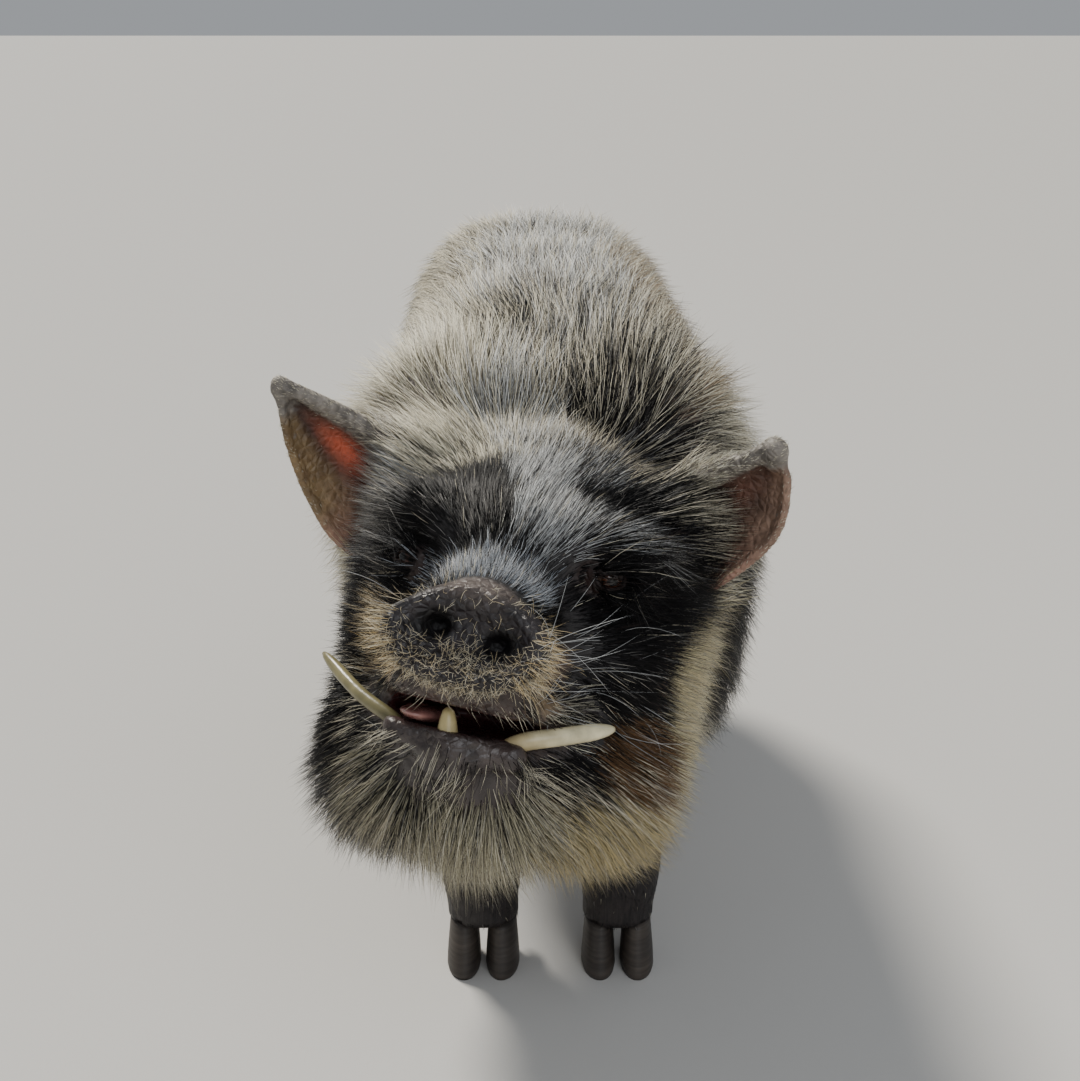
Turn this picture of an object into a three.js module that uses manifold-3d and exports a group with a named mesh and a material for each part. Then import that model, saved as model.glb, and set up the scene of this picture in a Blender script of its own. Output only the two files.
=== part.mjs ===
// A kunekune pig, standing, life size, in millimetres. +Z is up, the pig faces -Y and its left side is +X.
// The body is one rounded form made of soft masses. It is skinned whole, its coat is set on in locks,
// and thin cuts part it into head, neck, torso, tail and legs.
import * as THREE from "three";
import { mergeVertices } from "three/addons/utils/BufferGeometryUtils.js";
import Module from "manifold-3d";

const wasm = await Module();
wasm.setup();

// Driving dimensions
const GAP = 0.3;
const BACK_HEIGHT = 621;
const BELLY_HEIGHT = 186;
const TRUNK_HALF_WIDTH = 163;
const SHOULDER_Y = 60;
const RUMP_Y = 600;
const RUMP_X = -12;
const FRONT_FOOT = { x: 64, y: 0 };
const HIND_FOOT = { x: 88, y: 625 };
const HOOF_TOP = 48;
const FRONT_KNEE_HEIGHT = 160;
const HOCK_HEIGHT = 150;
const TAIL_BASE = { y: 772, z: 545 };
const TAIL_LENGTH = 235;

// The head's own frame has its muzzle along -Y. It is raised, turned to the pig's right and rolled.
const HEAD_PLACE = new THREE.Vector3(-15, -191, 478);
const HEAD_YAW = -12;
const HEAD_PITCH = -25;
const HEAD_ROLL = 7;
const EYE_RADIUS = 13;
const EYE_AIM = { left: new THREE.Vector3(0.74, -0.66, 0.05), right: new THREE.Vector3(-0.74, -0.66, -0.06) };
const EYE_DEPTH = 9;
const LID = { ring: 13, thickness: 5, widen: 1.1, flatten: 0.72, halfWidth: 10.5, halfHeight: 5.5 };
const SNOUT = { x: 6, y: -166, z: -71, halfWidth: 53, halfHeight: 33, halfDepth: 13, tilt: -8 };
const NOSTRIL = { out: 20.5, rise: 0, halfWidth: 9, halfHeight: 9, depth: 20 };
const MOUTH = { x: -4, y: -106, z: -125, halfWidth: 60, halfDepth: 58, halfHeight: 10 };
const EAR_THICKNESS = { root: 8, edge: 3.5, rim: 3 };
const EAR_CUP = 24;
const HOOF = { out: 17.2, halfWidth: 15.5, halfLength: 29, innerShare: 0.86, back: -4 };
const DEWCLAW = { out: 15, back: 20, radius: 8 };

const vec = (x, y, z) => new THREE.Vector3(x, y, z);
const radians = THREE.MathUtils.degToRad;
const clamp = THREE.MathUtils.clamp;
const lerp = THREE.MathUtils.lerp;

// The head's own frame and the pig's
const headTurn = new THREE.Matrix4()
  .makeRotationZ(radians(HEAD_YAW))
  .multiply(new THREE.Matrix4().makeRotationX(radians(HEAD_PITCH)))
  .multiply(new THREE.Matrix4().makeRotationY(radians(HEAD_ROLL)));
const headToWorld = new THREE.Matrix4().makeTranslation(HEAD_PLACE).multiply(headTurn);
const worldToHead = headToWorld.clone().invert();
const fromHead = (x, y, z) => vec(x, y, z).applyMatrix4(headToWorld);
const headDirection = (x, y, z) => vec(x, y, z).transformDirection(headToWorld);

// Rounded masses: each is a function that gives how far a point lies outside it, negative inside.
function ellipsoid(centre, radii, tilt = 0) {
  const c = Math.cos(radians(tilt));
  const s = Math.sin(radians(tilt));
  return (p) => {
    const x = p.x - centre.x;
    const dy = p.y - centre.y;
    const dz = p.z - centre.z;
    const y = c * dy + s * dz;
    const z = -s * dy + c * dz;
    const near = Math.hypot(x / radii.x, y / radii.y, z / radii.z);
    const slope = Math.hypot(x / radii.x ** 2, y / radii.y ** 2, z / radii.z ** 2);
    return slope < 1e-9 ? -Math.min(radii.x, radii.y, radii.z) : (near * (near - 1)) / slope;
  };
}

function roundCone(a, radiusA, b, radiusB) {
  const axis = b.clone().sub(a);
  const lengthSquared = axis.lengthSq();
  return (p) => {
    const dx = p.x - a.x;
    const dy = p.y - a.y;
    const dz = p.z - a.z;
    const t = clamp((dx * axis.x + dy * axis.y + dz * axis.z) / lengthSquared, 0, 1);
    return Math.hypot(dx - t * axis.x, dy - t * axis.y, dz - t * axis.z) - lerp(radiusA, radiusB, t);
  };
}

function softMinimum(a, b, softness) {
  const h = Math.max(softness - Math.abs(a - b), 0) / softness;
  return Math.min(a, b) - (h * h * softness) / 4;
}

const soften = (softness, masses) => (p) =>
  masses.map((mass) => mass(p)).reduce((a, b) => softMinimum(a, b, softness));

const bothSides = (make) => [make(1), make(-1)];

// Trunk and neck
const trunkMiddle = (BACK_HEIGHT + BELLY_HEIGHT) / 2;
const trunkHalfHeight = (BACK_HEIGHT - BELLY_HEIGHT) / 2;
const neckFront = fromHead(0, 20, -34);
const trunk = soften(60, [
  ellipsoid(vec(0, SHOULDER_Y, trunkMiddle + 6), vec(TRUNK_HALF_WIDTH, 172, trunkHalfHeight - 10)),
  ellipsoid(vec(0, 330, trunkMiddle - 4), vec(TRUNK_HALF_WIDTH + 10, 330, trunkHalfHeight)),
  ellipsoid(vec(RUMP_X, RUMP_Y, trunkMiddle + 22), vec(TRUNK_HALF_WIDTH - 2, 188, trunkHalfHeight - 24)),
  ...bothSides((side) => roundCone(
    vec(side * 46, 130, BACK_HEIGHT - 84), 78, vec(RUMP_X + side * 50, RUMP_Y + 40, BACK_HEIGHT - 90), 82)),
  ...bothSides((side) => ellipsoid(vec(side * 100, SHOULDER_Y - 30, 370), vec(72, 120, 165))),
  ...bothSides((side) => ellipsoid(vec(RUMP_X + side * 92, RUMP_Y + 5, 345), vec(80, 140, 175))),
]);
const neck = soften(50, [
  roundCone(vec(0, 30, 445), 146, neckFront, 90),
  ellipsoid(vec(0, -62, 345), vec(100, 96, 100)),
  ellipsoid(vec(-72, -46, 490), vec(96, 100, 108)),
  ellipsoid(vec(60, -16, 486), vec(84, 100, 104)),
]);
const torsoAndNeck = soften(60, [trunk, neck]);

// Head, in its own frame
const headMasses = soften(24, [
  soften(34, [
    ellipsoid(vec(0, 10, 2), vec(98, 84, 80)),
    ...bothSides((side) => ellipsoid(vec(side * 86, 6, 24), vec(34, 34, 44))),
    ellipsoid(vec(0, -44, -8), vec(74, 58, 56)),
    roundCone(vec(2, -60, -66), 60, vec(SNOUT.x, -142, SNOUT.z), 41),
    ellipsoid(vec(70, -2, -70), vec(68, 80, 80)),
    ellipsoid(vec(-60, -2, -62), vec(64, 80, 76)),
    ellipsoid(vec(74, -8, -140), vec(62, 68, 66)),
    ellipsoid(vec(-60, -14, -156), vec(60, 66, 68)),
    ellipsoid(vec(0, -46, -154), vec(78, 76, 66)),
  ]),
  roundCone(vec(0, -60, -138), 46, vec(0, -120, -146), 25),
  roundCone(vec(-34, -126, -104), 19, vec(34, -126, -104), 19),
  ...bothSides((side) => ellipsoid(vec(side * 60, -66, 8), vec(32, 26, 20))),
]);
const snoutDisc = ellipsoid(
  vec(SNOUT.x, SNOUT.y, SNOUT.z), vec(SNOUT.halfWidth, SNOUT.halfDepth, SNOUT.halfHeight), SNOUT.tilt);
const headLocal = (p) => softMinimum(headMasses(p), snoutDisc(p), 10);
const headField = (p) => headLocal(p.clone().applyMatrix4(worldToHead));

// Legs: each is a chain of tapering lengths from inside the trunk down to the coronet.
function legField(joints) {
  const lengths = [];
  for (let i = 0; i + 1 < joints.length; i++) {
    lengths.push(roundCone(joints[i].at, joints[i].radius, joints[i + 1].at, joints[i + 1].radius));
  }
  return soften(22, lengths);
}
const frontLegJoints = (side) => [
  { at: vec(side * (FRONT_FOOT.x + 34), 20, 310), radius: 62 },
  { at: vec(side * (FRONT_FOOT.x + 12), 12, FRONT_KNEE_HEIGHT + 25), radius: 46 },
  { at: vec(side * (FRONT_FOOT.x + 2), 0, 95), radius: 33 },
  { at: vec(side * FRONT_FOOT.x, -3, HOOF_TOP + 6), radius: 35 },
];
const hindLegJoints = (side) => [
  { at: vec(RUMP_X + side * (HIND_FOOT.x + 2), RUMP_Y - 10, 310), radius: 74 },
  { at: vec(RUMP_X + side * (HIND_FOOT.x + 4), RUMP_Y - 8, 235), radius: 64 },
  { at: vec(RUMP_X + side * HIND_FOOT.x, HIND_FOOT.y + 28, HOCK_HEIGHT + 5), radius: 39 },
  { at: vec(RUMP_X + side * HIND_FOOT.x, HIND_FOOT.y + 4, 90), radius: 33 },
  { at: vec(RUMP_X + side * HIND_FOOT.x, HIND_FOOT.y, HOOF_TOP + 6), radius: 34 },
];

// The whole body, which the coat lies along
const legJoints = { front: frontLegJoints, hind: hindLegJoints };
const legFields = Object.values(legJoints).flatMap((joints) => bothSides((side) => legField(joints(side))));
const bodyField = soften(16, [torsoAndNeck, headField, ...legFields]);

// Meshing: rings of rays leave a line, fan out past both its ends, and stop at the surface.
function surfaceAlong(field, origin, direction, level = 0) {
  const at = (t) => origin.clone().addScaledVector(direction, t);
  let near = 0;
  let far = 0;
  while (far < 900) {
    const depth = -field(at(far));
    if (depth < 0) break;
    near = far;
    far += Math.max(1.5, depth * 0.7);
  }
  for (let i = 0; i < 24; i++) {
    const middle = (near + far) / 2;
    if (field(at(middle)) < 0) near = middle;
    else far = middle;
  }
  while (level > 0 && field(at(near)) < level) near += level / 2;
  return at(near);
}

function rayOf({ from, to, up }, along, around) {
  const axis = to.clone().sub(from).normalize();
  const side = axis.clone().cross(up).normalize();
  const top = side.clone().cross(axis);
  const capShare = 0.24;
  const start = clamp(along / capShare, 0, 1);
  const end = clamp((1 - along) / capShare, 0, 1);
  const tilt = ((1 - end) - (1 - start)) * Math.PI / 2;
  const middle = clamp((along - capShare) / (1 - 2 * capShare), 0, 1);
  const origin = from.clone().lerp(to, middle);
  const spread = top.multiplyScalar(Math.cos(around)).addScaledVector(side, Math.sin(around));
  return { origin, direction: spread.multiplyScalar(Math.cos(tilt)).addScaledVector(axis, Math.sin(tilt)) };
}

function wrap(field, line, rings, sides, level = 0) {
  const points = [];
  const triangles = [];
  const add = (along, around) => {
    const ray = rayOf(line, along, around);
    points.push(surfaceAlong(field, ray.origin, ray.direction, level));
  };
  add(0, 0);
  for (let i = 1; i < rings; i++) {
    for (let j = 0; j < sides; j++) add(i / rings, ((j + (i % 2) / 2) / sides) * 2 * Math.PI);
  }
  add(1, 0);
  const index = (i, j) => 1 + (i - 1) * sides + (j % sides);
  for (let j = 0; j < sides; j++) {
    triangles.push([0, index(1, j + 1), index(1, j)]);
    triangles.push([points.length - 1, index(rings - 1, j), index(rings - 1, j + 1)]);
  }
  for (let i = 1; i + 1 < rings; i++) {
    for (let j = 0; j < sides; j++) {
      const [p, q] = [index(i, j), index(i, j + 1)];
      const [r, s] = [index(i + 1, j), index(i + 1, j + 1)];
      if (i % 2) triangles.push([p, q, s], [p, s, r]);
      else triangles.push([p, q, r], [q, s, r]);
    }
  }
  return solidOf(points, triangles);
}

// Solids: closed triangle lists that can be joined, cut and turned back into geometry.
function solidOf(points, triangles) {
  let volume = 0;
  for (const [a, b, c] of triangles) {
    volume += points[a].dot(points[b].clone().cross(points[c]));
  }
  const faces = volume < 0 ? triangles.map(([a, b, c]) => [a, c, b]) : triangles;
  return new wasm.Manifold(new wasm.Mesh({
    numProp: 3,
    vertProperties: new Float32Array(points.flatMap((p) => [p.x, p.y, p.z])),
    triVerts: new Uint32Array(faces.flat()),
  }));
}

function solidFrom(geometry, matrix = new THREE.Matrix4()) {
  const bare = geometry.clone().applyMatrix4(matrix);
  bare.deleteAttribute("normal");
  bare.deleteAttribute("uv");
  const merged = mergeVertices(bare, 1e-4);
  const place = merged.getAttribute("position");
  const points = Array.from({ length: place.count }, (_, i) => vec().fromBufferAttribute(place, i));
  const index = Array.from(merged.getIndex().array);
  const triangles = [];
  for (let i = 0; i < index.length; i += 3) triangles.push(index.slice(i, i + 3));
  return solidOf(points, triangles);
}

function largest(solid) {
  return solid.decompose().reduce((a, b) => (a.volume() > b.volume() ? a : b));
}

const keepBeyond = (solid, plane, gap = GAP / 2) =>
  solid.trimByPlane(plane.normal.toArray(), plane.normal.dot(plane.at) + gap);
const keepBefore = (solid, plane, gap = GAP / 2) =>
  solid.trimByPlane(plane.normal.clone().negate().toArray(), -plane.normal.dot(plane.at) + gap);

function ball(centre, radii, matrix = new THREE.Matrix4(), widthSegments = 16, heightSegments = 10) {
  const shape = new THREE.SphereGeometry(1, widthSegments, heightSegments)
    .scale(radii.x, radii.y, radii.z)
    .translate(centre.x, centre.y, centre.z);
  return solidFrom(shape, matrix);
}

// Cores: the body's masses, each skinned along its own line
const up = vec(0, 0, 1);
const torsoLine = { from: vec(0, -60, 420), to: vec(RUMP_X, RUMP_Y, 400), up };
const headLine = { from: fromHead(0, 10, -60), to: fromHead(0, -120, -85), up: headDirection(0, 0, 1) };
const legLine = (joints) => ({ from: joints[0].at, to: joints.at(-1).at, up: vec(0, -1, 0) });
const torsoCore = (level) => wrap(torsoAndNeck, torsoLine, 28, 18, level);
const headCore = (level) => wrap(headField, headLine, 30, 24, level);
const legCore = (joints, level) => wrap(legField(joints), legLine(joints), joints.length * 3, 10, level);

const nodes = [];
const put = (name, solid, look) => nodes.push({ name, solid, look });

const looks = {
  hide: { color: 0x8d8578, roughness: 0.85, metalness: 0 },
  darkHide: { color: 0x4a4543, roughness: 0.8, metalness: 0 },
  snout: { color: 0x55504d, roughness: 0.6, metalness: 0 },
  eye: { color: 0x2a1710, roughness: 0.1, metalness: 0 },
  hoof: { color: 0x37322f, roughness: 0.5, metalness: 0 },
  ivory: { color: 0xcdbf96, roughness: 0.4, metalness: 0 },
  tongue: { color: 0xb4645e, roughness: 0.4, metalness: 0 },
};

// Cuts between head, neck and torso
const torsoCut = { at: vec(0, -70, 420), normal: vec(0, 1, 0.15).normalize() };
const headCut = { at: fromHead(0, 34, -60), normal: headDirection(0, 1, 0) };
const snoutCut = { at: fromHead(0, -136, -80), normal: headDirection(0, 1, 0) };

// Coat: flat, tapering locks, rooted in the core and lying along it. They are fewer and wider than the
// pig's own, but as long, and reach as far out.
const COATS = {
  trunk: { length: 120, width: 80, lift: 14, spacing: 96 },
  crest: { length: 124, width: 70, lift: 17, spacing: 81 },
  belly: { length: 98, width: 84, lift: 9, spacing: 116 },
  neck: { length: 106, width: 62, lift: 17, spacing: 66 },
  brow: { length: 74, width: 35, lift: 10, spacing: 45 },
  cheek: { length: 88, width: 38, lift: 15, spacing: 50 },
  beard: { length: 108, width: 38, lift: 46, spacing: 40 },
  leg: { length: 66, width: 46, lift: 6, spacing: 62 },
};
const LOCK_SINK = 8;
const LOCK_THICKNESS = 7;
const MOST_FOLD = Math.cos(radians(40));
const LOCK_STATIONS = [
  { along: 0, width: 0.6, thickness: 1 },
  { along: 0.25, width: 1, thickness: 1 },
  { along: 0.55, width: 0.86, thickness: 0.9 },
  { along: 0.8, width: 0.5, thickness: 0.7 },
];

// A repeatable random draw between 0 and 1
function randomDraw(seed) {
  let state = seed;
  return () => {
    state = (state + 0x6d2b79f5) | 0;
    let t = Math.imul(state ^ (state >>> 15), 1 | state);
    t = (t + Math.imul(t ^ (t >>> 7), 61 | t)) ^ t;
    return ((t ^ (t >>> 14)) >>> 0) / 4294967296;
  };
}

function slopeOf(field, p) {
  const step = 0.5;
  const along = (x, y, z) => field(p.clone().add(vec(x, y, z))) - field(p.clone().sub(vec(x, y, z)));
  return vec(along(step, 0, 0), along(0, step, 0), along(0, 0, step)).normalize();
}

// Walks a lock's middle line over the surface and returns its section at each station.
function layLock(root, heading, coat, random) {
  const length = coat.length * lerp(0.85, 1.15, random());
  const width = coat.width * lerp(0.85, 1.15, random());
  const lift = coat.lift * lerp(0.75, 1.1, random());
  const sway = lerp(-0.35, 0.35, random());
  const ground = root.clone();
  const direction = heading.clone();
  const stations = [];
  let walked = 0;
  for (const station of [...LOCK_STATIONS, { along: 1, width: 0, thickness: 0 }]) {
    const stride = (station.along - walked) * length;
    walked = station.along;
    ground.addScaledVector(direction, stride);
    ground.addScaledVector(slopeOf(bodyField, ground), -bodyField(ground));
    const outward = slopeOf(bodyField, ground);
    direction.projectOnPlane(outward).applyAxisAngle(outward, sway * stride / length).normalize();
    const height = station.along === 0 ? -LOCK_SINK : lift * station.along ** 1.6;
    stations.push({
      middle: ground.clone().addScaledVector(outward, height),
      across: outward.clone().cross(direction).normalize(),
      outward,
      halfWidth: (station.width * width) / 2,
      thickness: station.thickness * LOCK_THICKNESS,
    });
  }
  return stations;
}

// A lock's section is a low three-sided ridge; the last station is its point. A grown lock stands off by that much
// on every side, so its thin edges and its point move out furthest.
function lockSolid(stations, grow) {
  const points = [];
  const triangles = [];
  const body = stations.slice(0, -1);
  const rootward = stations[0].middle.clone().sub(stations[1].middle).normalize();
  body.forEach(({ middle, across, outward, halfWidth, thickness }, i) => {
    const place = i === 0 ? middle.clone().addScaledVector(rootward, 2 * grow) : middle;
    const edge = halfWidth + grow / Math.tan(Math.atan2(thickness, halfWidth) / 2);
    const under = place.clone().addScaledVector(outward, -thickness * 0.55 - grow);
    points.push(under.clone().addScaledVector(across, -edge));
    points.push(place.clone().addScaledVector(outward, thickness * 0.45 + 1.1 * grow));
    points.push(under.clone().addScaledVector(across, edge));
  });
  const last = stations.at(-1);
  const onward = last.middle.clone().sub(body.at(-1).middle).normalize();
  points.push(last.middle.clone().addScaledVector(onward, 12 * grow).addScaledVector(last.outward, -grow));
  triangles.push([0, 1, 2]);
  for (let i = 0; i + 1 < body.length; i++) {
    for (let j = 0; j < 3; j++) {
      const [a, b] = [3 * i + j, 3 * i + ((j + 1) % 3)];
      triangles.push([a, a + 3, b], [b, a + 3, b + 3]);
    }
  }
  const end = 3 * (body.length - 1);
  for (let j = 0; j < 3; j++) triangles.push([end + j, end + 3, end + ((j + 1) % 3)]);
  return solidOf(points, triangles);
}

// Draws places over a core, keeps those that stand a coat's spacing apart, and lays a lock at each.
function growCoat(field, line, seed, tries, choose) {
  const random = randomDraw(seed);
  const locks = [];
  const roots = [];
  for (let i = 0; i < tries; i++) {
    const ray = rayOf(line, random(), random() * 2 * Math.PI);
    const root = surfaceAlong(field, ray.origin, ray.direction);
    const grown = choose(root);
    if (!grown) continue;
    const { coat, heading } = grown;
    const crowded = roots.some((other) => other.distanceTo(root) < coat.spacing);
    if (crowded || bodyField(root) < -2) continue;
    const lie = heading.clone().projectOnPlane(slopeOf(field, root)).normalize();
    const stations = layLock(root, lie, coat, random);
    const folds = stations.some(({ outward }, k) => k > 0 && outward.dot(stations[k - 1].outward) < MOST_FOLD);
    const standsOff = stations.some(({ middle }) => bodyField(middle) > 1.3 * coat.lift + 4);
    if (folds || standsOff || stations.some(({ middle }) => isNearFeature(middle))) continue;
    roots.push(root);
    locks.push(stations);
  }
  return locks;
}

const joined = (solids) => wasm.Manifold.union(solids);
const coatSolid = (locks, grow = 0) => joined(locks.map((stations) => lockSolid(stations, grow)));

function trunkCoat(root) {
  const outward = slopeOf(torsoAndNeck, root);
  const heading = vec(0.25 * outward.x, 1, -0.75 * Math.abs(outward.x) - 0.1);
  if (root.y < -60) return { coat: COATS.neck, heading };
  if (outward.z > 0.75) return { coat: COATS.crest, heading };
  if (outward.z < -0.6) return { coat: COATS.belly, heading };
  return { coat: COATS.trunk, heading };
}

// On the head the hair lies away from the snout on every side.
const SNOUT_CENTRE = vec(SNOUT.x, SNOUT.y - 10, SNOUT.z);
function headCoat(root) {
  const local = root.clone().applyMatrix4(worldToHead);
  const away = local.clone().sub(SNOUT_CENTRE);
  const heading = away.clone().transformDirection(headToWorld);
  const inFrontOfMuzzle = away.length() < 74;
  if (inFrontOfMuzzle || local.y > 30) return null;
  if (local.z < -128) return { coat: COATS.beard, heading };
  if (local.z > -20) return { coat: COATS.brow, heading };
  return { coat: COATS.cheek, heading };
}

const legCoat = (root) => {
  if (root.z < FRONT_KNEE_HEIGHT || torsoAndNeck(root) < 20) return null;
  return { coat: COATS.leg, heading: vec(0, 0.35, -1) };
};

// An eye sits just under the skin, where a line from the head's middle comes out; its lids ring an oval opening.
function eyeFrame(side) {
  const aim = side > 0 ? EYE_AIM.left : EYE_AIM.right;
  const skin = surfaceAlong(headLocal, vec(0, -12, -20), aim.clone().normalize());
  const outward = slopeOf(headLocal, skin);
  const along = vec(side * 0.55, 0.8, 0.22).projectOnPlane(outward).normalize();
  const upward = outward.clone().cross(along);
  const basis = new THREE.Matrix4().makeBasis(along, upward, outward).setPosition(skin);
  return headToWorld.clone().multiply(basis);
}

const eyeBall = (side, grow) => {
  const radius = EYE_RADIUS + grow;
  return ball(vec(0, 0, -EYE_DEPTH), vec(radius, radius, radius), eyeFrame(side), 12, 9);
};
const lidRing = (side) => {
  const ring = new THREE.TorusGeometry(LID.ring, LID.thickness, 6, 12)
    .scale(LID.widen, LID.flatten, 1)
    .translate(0, 0, -1);
  return solidFrom(ring, eyeFrame(side));
};
const lidOpening = (side) =>
  ball(vec(0, 0, 2), vec(LID.halfWidth, LID.halfHeight, 16), eyeFrame(side), 10, 6);

// A curved horn-like length: rings of points along a bend, closed at both ends.
function tube(path, radii, sides) {
  const points = [];
  const triangles = [];
  const count = path.length;
  let across = null;
  path.forEach((place, i) => {
    const ahead = path[Math.min(i + 1, count - 1)].clone().sub(path[Math.max(i - 1, 0)]).normalize();
    across = (across ?? vec(0.3, 0.9, 0.2)).clone().projectOnPlane(ahead).normalize();
    const third = ahead.clone().cross(across);
    for (let j = 0; j < sides; j++) {
      const angle = (j / sides) * 2 * Math.PI;
      points.push(place.clone()
        .addScaledVector(across, Math.cos(angle) * radii[i])
        .addScaledVector(third, Math.sin(angle) * radii[i]));
    }
  });
  const root = points.push(path[0]) - 1;
  const tip = points.push(path.at(-1)) - 1;
  for (let j = 0; j < sides; j++) {
    const next = (j + 1) % sides;
    triangles.push([root, next, j], [tip, (count - 1) * sides + j, (count - 1) * sides + next]);
    for (let i = 0; i + 1 < count; i++) {
      triangles.push([i * sides + j, i * sides + next, (i + 1) * sides + next]);
      triangles.push([i * sides + j, (i + 1) * sides + next, (i + 1) * sides + j]);
    }
  }
  return solidOf(points, triangles);
}

const curveOf = (points, count) => new THREE.CatmullRomCurve3(points).getPoints(count);

// Tusks grow out of the lower jaw past the corner of the mouth; the left one is the stouter, the right the longer.
const tusks = {
  left: { path: [[30, -108, -142], [44, -114, -132], [68, -104, -123], [97, -80, -112]], thick: 6.5 },
  right: { path: [[-30, -104, -148], [-46, -112, -136], [-78, -100, -124], [-118, -72, -104]], thick: 5.2 },
};
function tusk({ path, thick }, grow) {
  const places = curveOf(path.map((p) => fromHead(...p)), 7);
  const radii = places.map((_, i) => grow + thick * (i < 5 ? 1 : [1, 0.93, 0.78, 0.45][i - 4]));
  return tube(places, radii, 8);
}

const toothPeg = (grow) => tube(
  [fromHead(-2, -126, -152), fromHead(-3, -130, -138), fromHead(-5, -134, -119 + grow)],
  [7 + grow, 7.5 + grow, 4 + grow], 8);
const tongueSolid = (grow) =>
  ball(vec(-28, -88, -128), vec(18 + grow, 48 + grow, 7 + grow), headToWorld, 14, 8);

// An ear is a cupped sheet between its upper and its outer edge, which meet at a thick curled tip.
const ears = {
  left: {
    upper: [[70, 4, 40], [100, 2, 72], [124, -8, 86], [146, -20, 95], [160, -26, 104]],
    outer: [[92, 8, -34], [140, 8, 6], [172, -4, 44], [175, -18, 80], [165, -26, 101]],
    knob: 10,
  },
  right: {
    upper: [[-70, 2, 40], [-112, -2, 54], [-150, -12, 70], [-180, -32, 78], [-207, -44, 84]],
    outer: [[-92, 8, -42], [-150, 8, -22], [-178, -1, 5], [-197, -22, 41], [-207, -43, 78]],
    knob: 7,
  },
};
function earSheet({ upper, outer, knob }, grow) {
  const rows = 8;
  const columns = 6;
  const upperEdge = curveOf(upper.map((p) => fromHead(...p)), rows);
  const outerEdge = curveOf(outer.map((p) => fromHead(...p)), rows);
  const backward = headDirection(0, 1, 0);
  const middle = [];
  for (let i = 0; i <= rows; i++) {
    const along = i / rows;
    for (let j = 0; j <= columns; j++) {
      const across = j / columns;
      const cup = EAR_CUP * 4 * across * (1 - across) * Math.sqrt(1 - along);
      middle.push(upperEdge[i].clone().lerp(outerEdge[i], across).addScaledVector(backward, cup));
    }
  }
  const at = (i, j) => middle[clamp(i, 0, rows) * (columns + 1) + clamp(j, 0, columns)];
  const points = [];
  for (const face of [1, -1]) {
    for (let i = 0; i <= rows; i++) {
      for (let j = 0; j <= columns; j++) {
        const out = at(i + 1, j).clone().sub(at(i - 1, j)).cross(at(i, j + 1).clone().sub(at(i, j - 1)));
        const rim = j === 0 ? EAR_THICKNESS.rim : 0;
        const half = lerp(EAR_THICKNESS.root, EAR_THICKNESS.edge, i / rows) / 2 + rim + grow;
        points.push(at(i, j).clone().addScaledVector(out.normalize(), face * half));
      }
    }
  }
  const sheet = (rows + 1) * (columns + 1);
  const index = (face, i, j) => face * sheet + i * (columns + 1) + j;
  const triangles = [];
  const quad = (a, b, c, d) => triangles.push([a, b, c], [a, c, d]);
  for (let i = 0; i < rows; i++) {
    for (let j = 0; j < columns; j++) {
      quad(index(0, i, j), index(0, i, j + 1), index(0, i + 1, j + 1), index(0, i + 1, j));
      quad(index(1, i, j), index(1, i + 1, j), index(1, i + 1, j + 1), index(1, i, j + 1));
    }
    quad(index(0, i, 0), index(0, i + 1, 0), index(1, i + 1, 0), index(1, i, 0));
    quad(index(0, i, columns), index(1, i, columns), index(1, i + 1, columns), index(0, i + 1, columns));
  }
  for (let j = 0; j < columns; j++) {
    quad(index(0, 0, j), index(1, 0, j), index(1, 0, j + 1), index(0, 0, j + 1));
    quad(index(0, rows, j), index(0, rows, j + 1), index(1, rows, j + 1), index(1, rows, j));
  }
  const radius = knob + grow;
  const tip = ball(middle.at(-1 - columns / 2), vec(radius, radius, radius), new THREE.Matrix4(), 8, 6);
  return solidOf(points, triangles).add(tip);
}

// Locks keep clear of ears, eyes, tusks, mouth and tail.
const features = [
  ...Object.values(ears).flatMap(({ upper, outer }) =>
    [...curveOf(upper.map((p) => fromHead(...p)), 8), ...curveOf(outer.map((p) => fromHead(...p)), 8)]
      .map((at) => ({ at, radius: 15 }))),
  ...Object.values(tusks).flatMap(({ path }) =>
    curveOf(path.map((p) => fromHead(...p)), 7).map((at) => ({ at, radius: 15 }))),
  ...bothSides((side) => ({ at: vec(0, 0, 0).applyMatrix4(eyeFrame(side)), radius: 25 })),
  ...[-60, -30, 0, 30, 60].map((x) => ({ at: fromHead(MOUTH.x + x, -124, MOUTH.z - 8), radius: 26 })),
  { at: vec(RUMP_X, TAIL_BASE.y, TAIL_BASE.z), radius: 34 },
  { at: vec(RUMP_X, TAIL_BASE.y + 25, TAIL_BASE.z - 40), radius: 30 },
];
const isNearFeature = (place) => features.some(({ at, radius }) => at.distanceTo(place) < radius);

const headLocks = growCoat(headField, headLine, 11, 2600, headCoat);
const trunkLocks = growCoat(torsoAndNeck, torsoLine, 23, 5200, trunkCoat);
const isNeck = ([root]) => torsoCut.normal.dot(root.middle.clone().sub(torsoCut.at)) < 0;
const neckLocks = trunkLocks.filter(isNeck);
const torsoLocks = trunkLocks.filter((lock) => !isNeck(lock));

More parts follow.
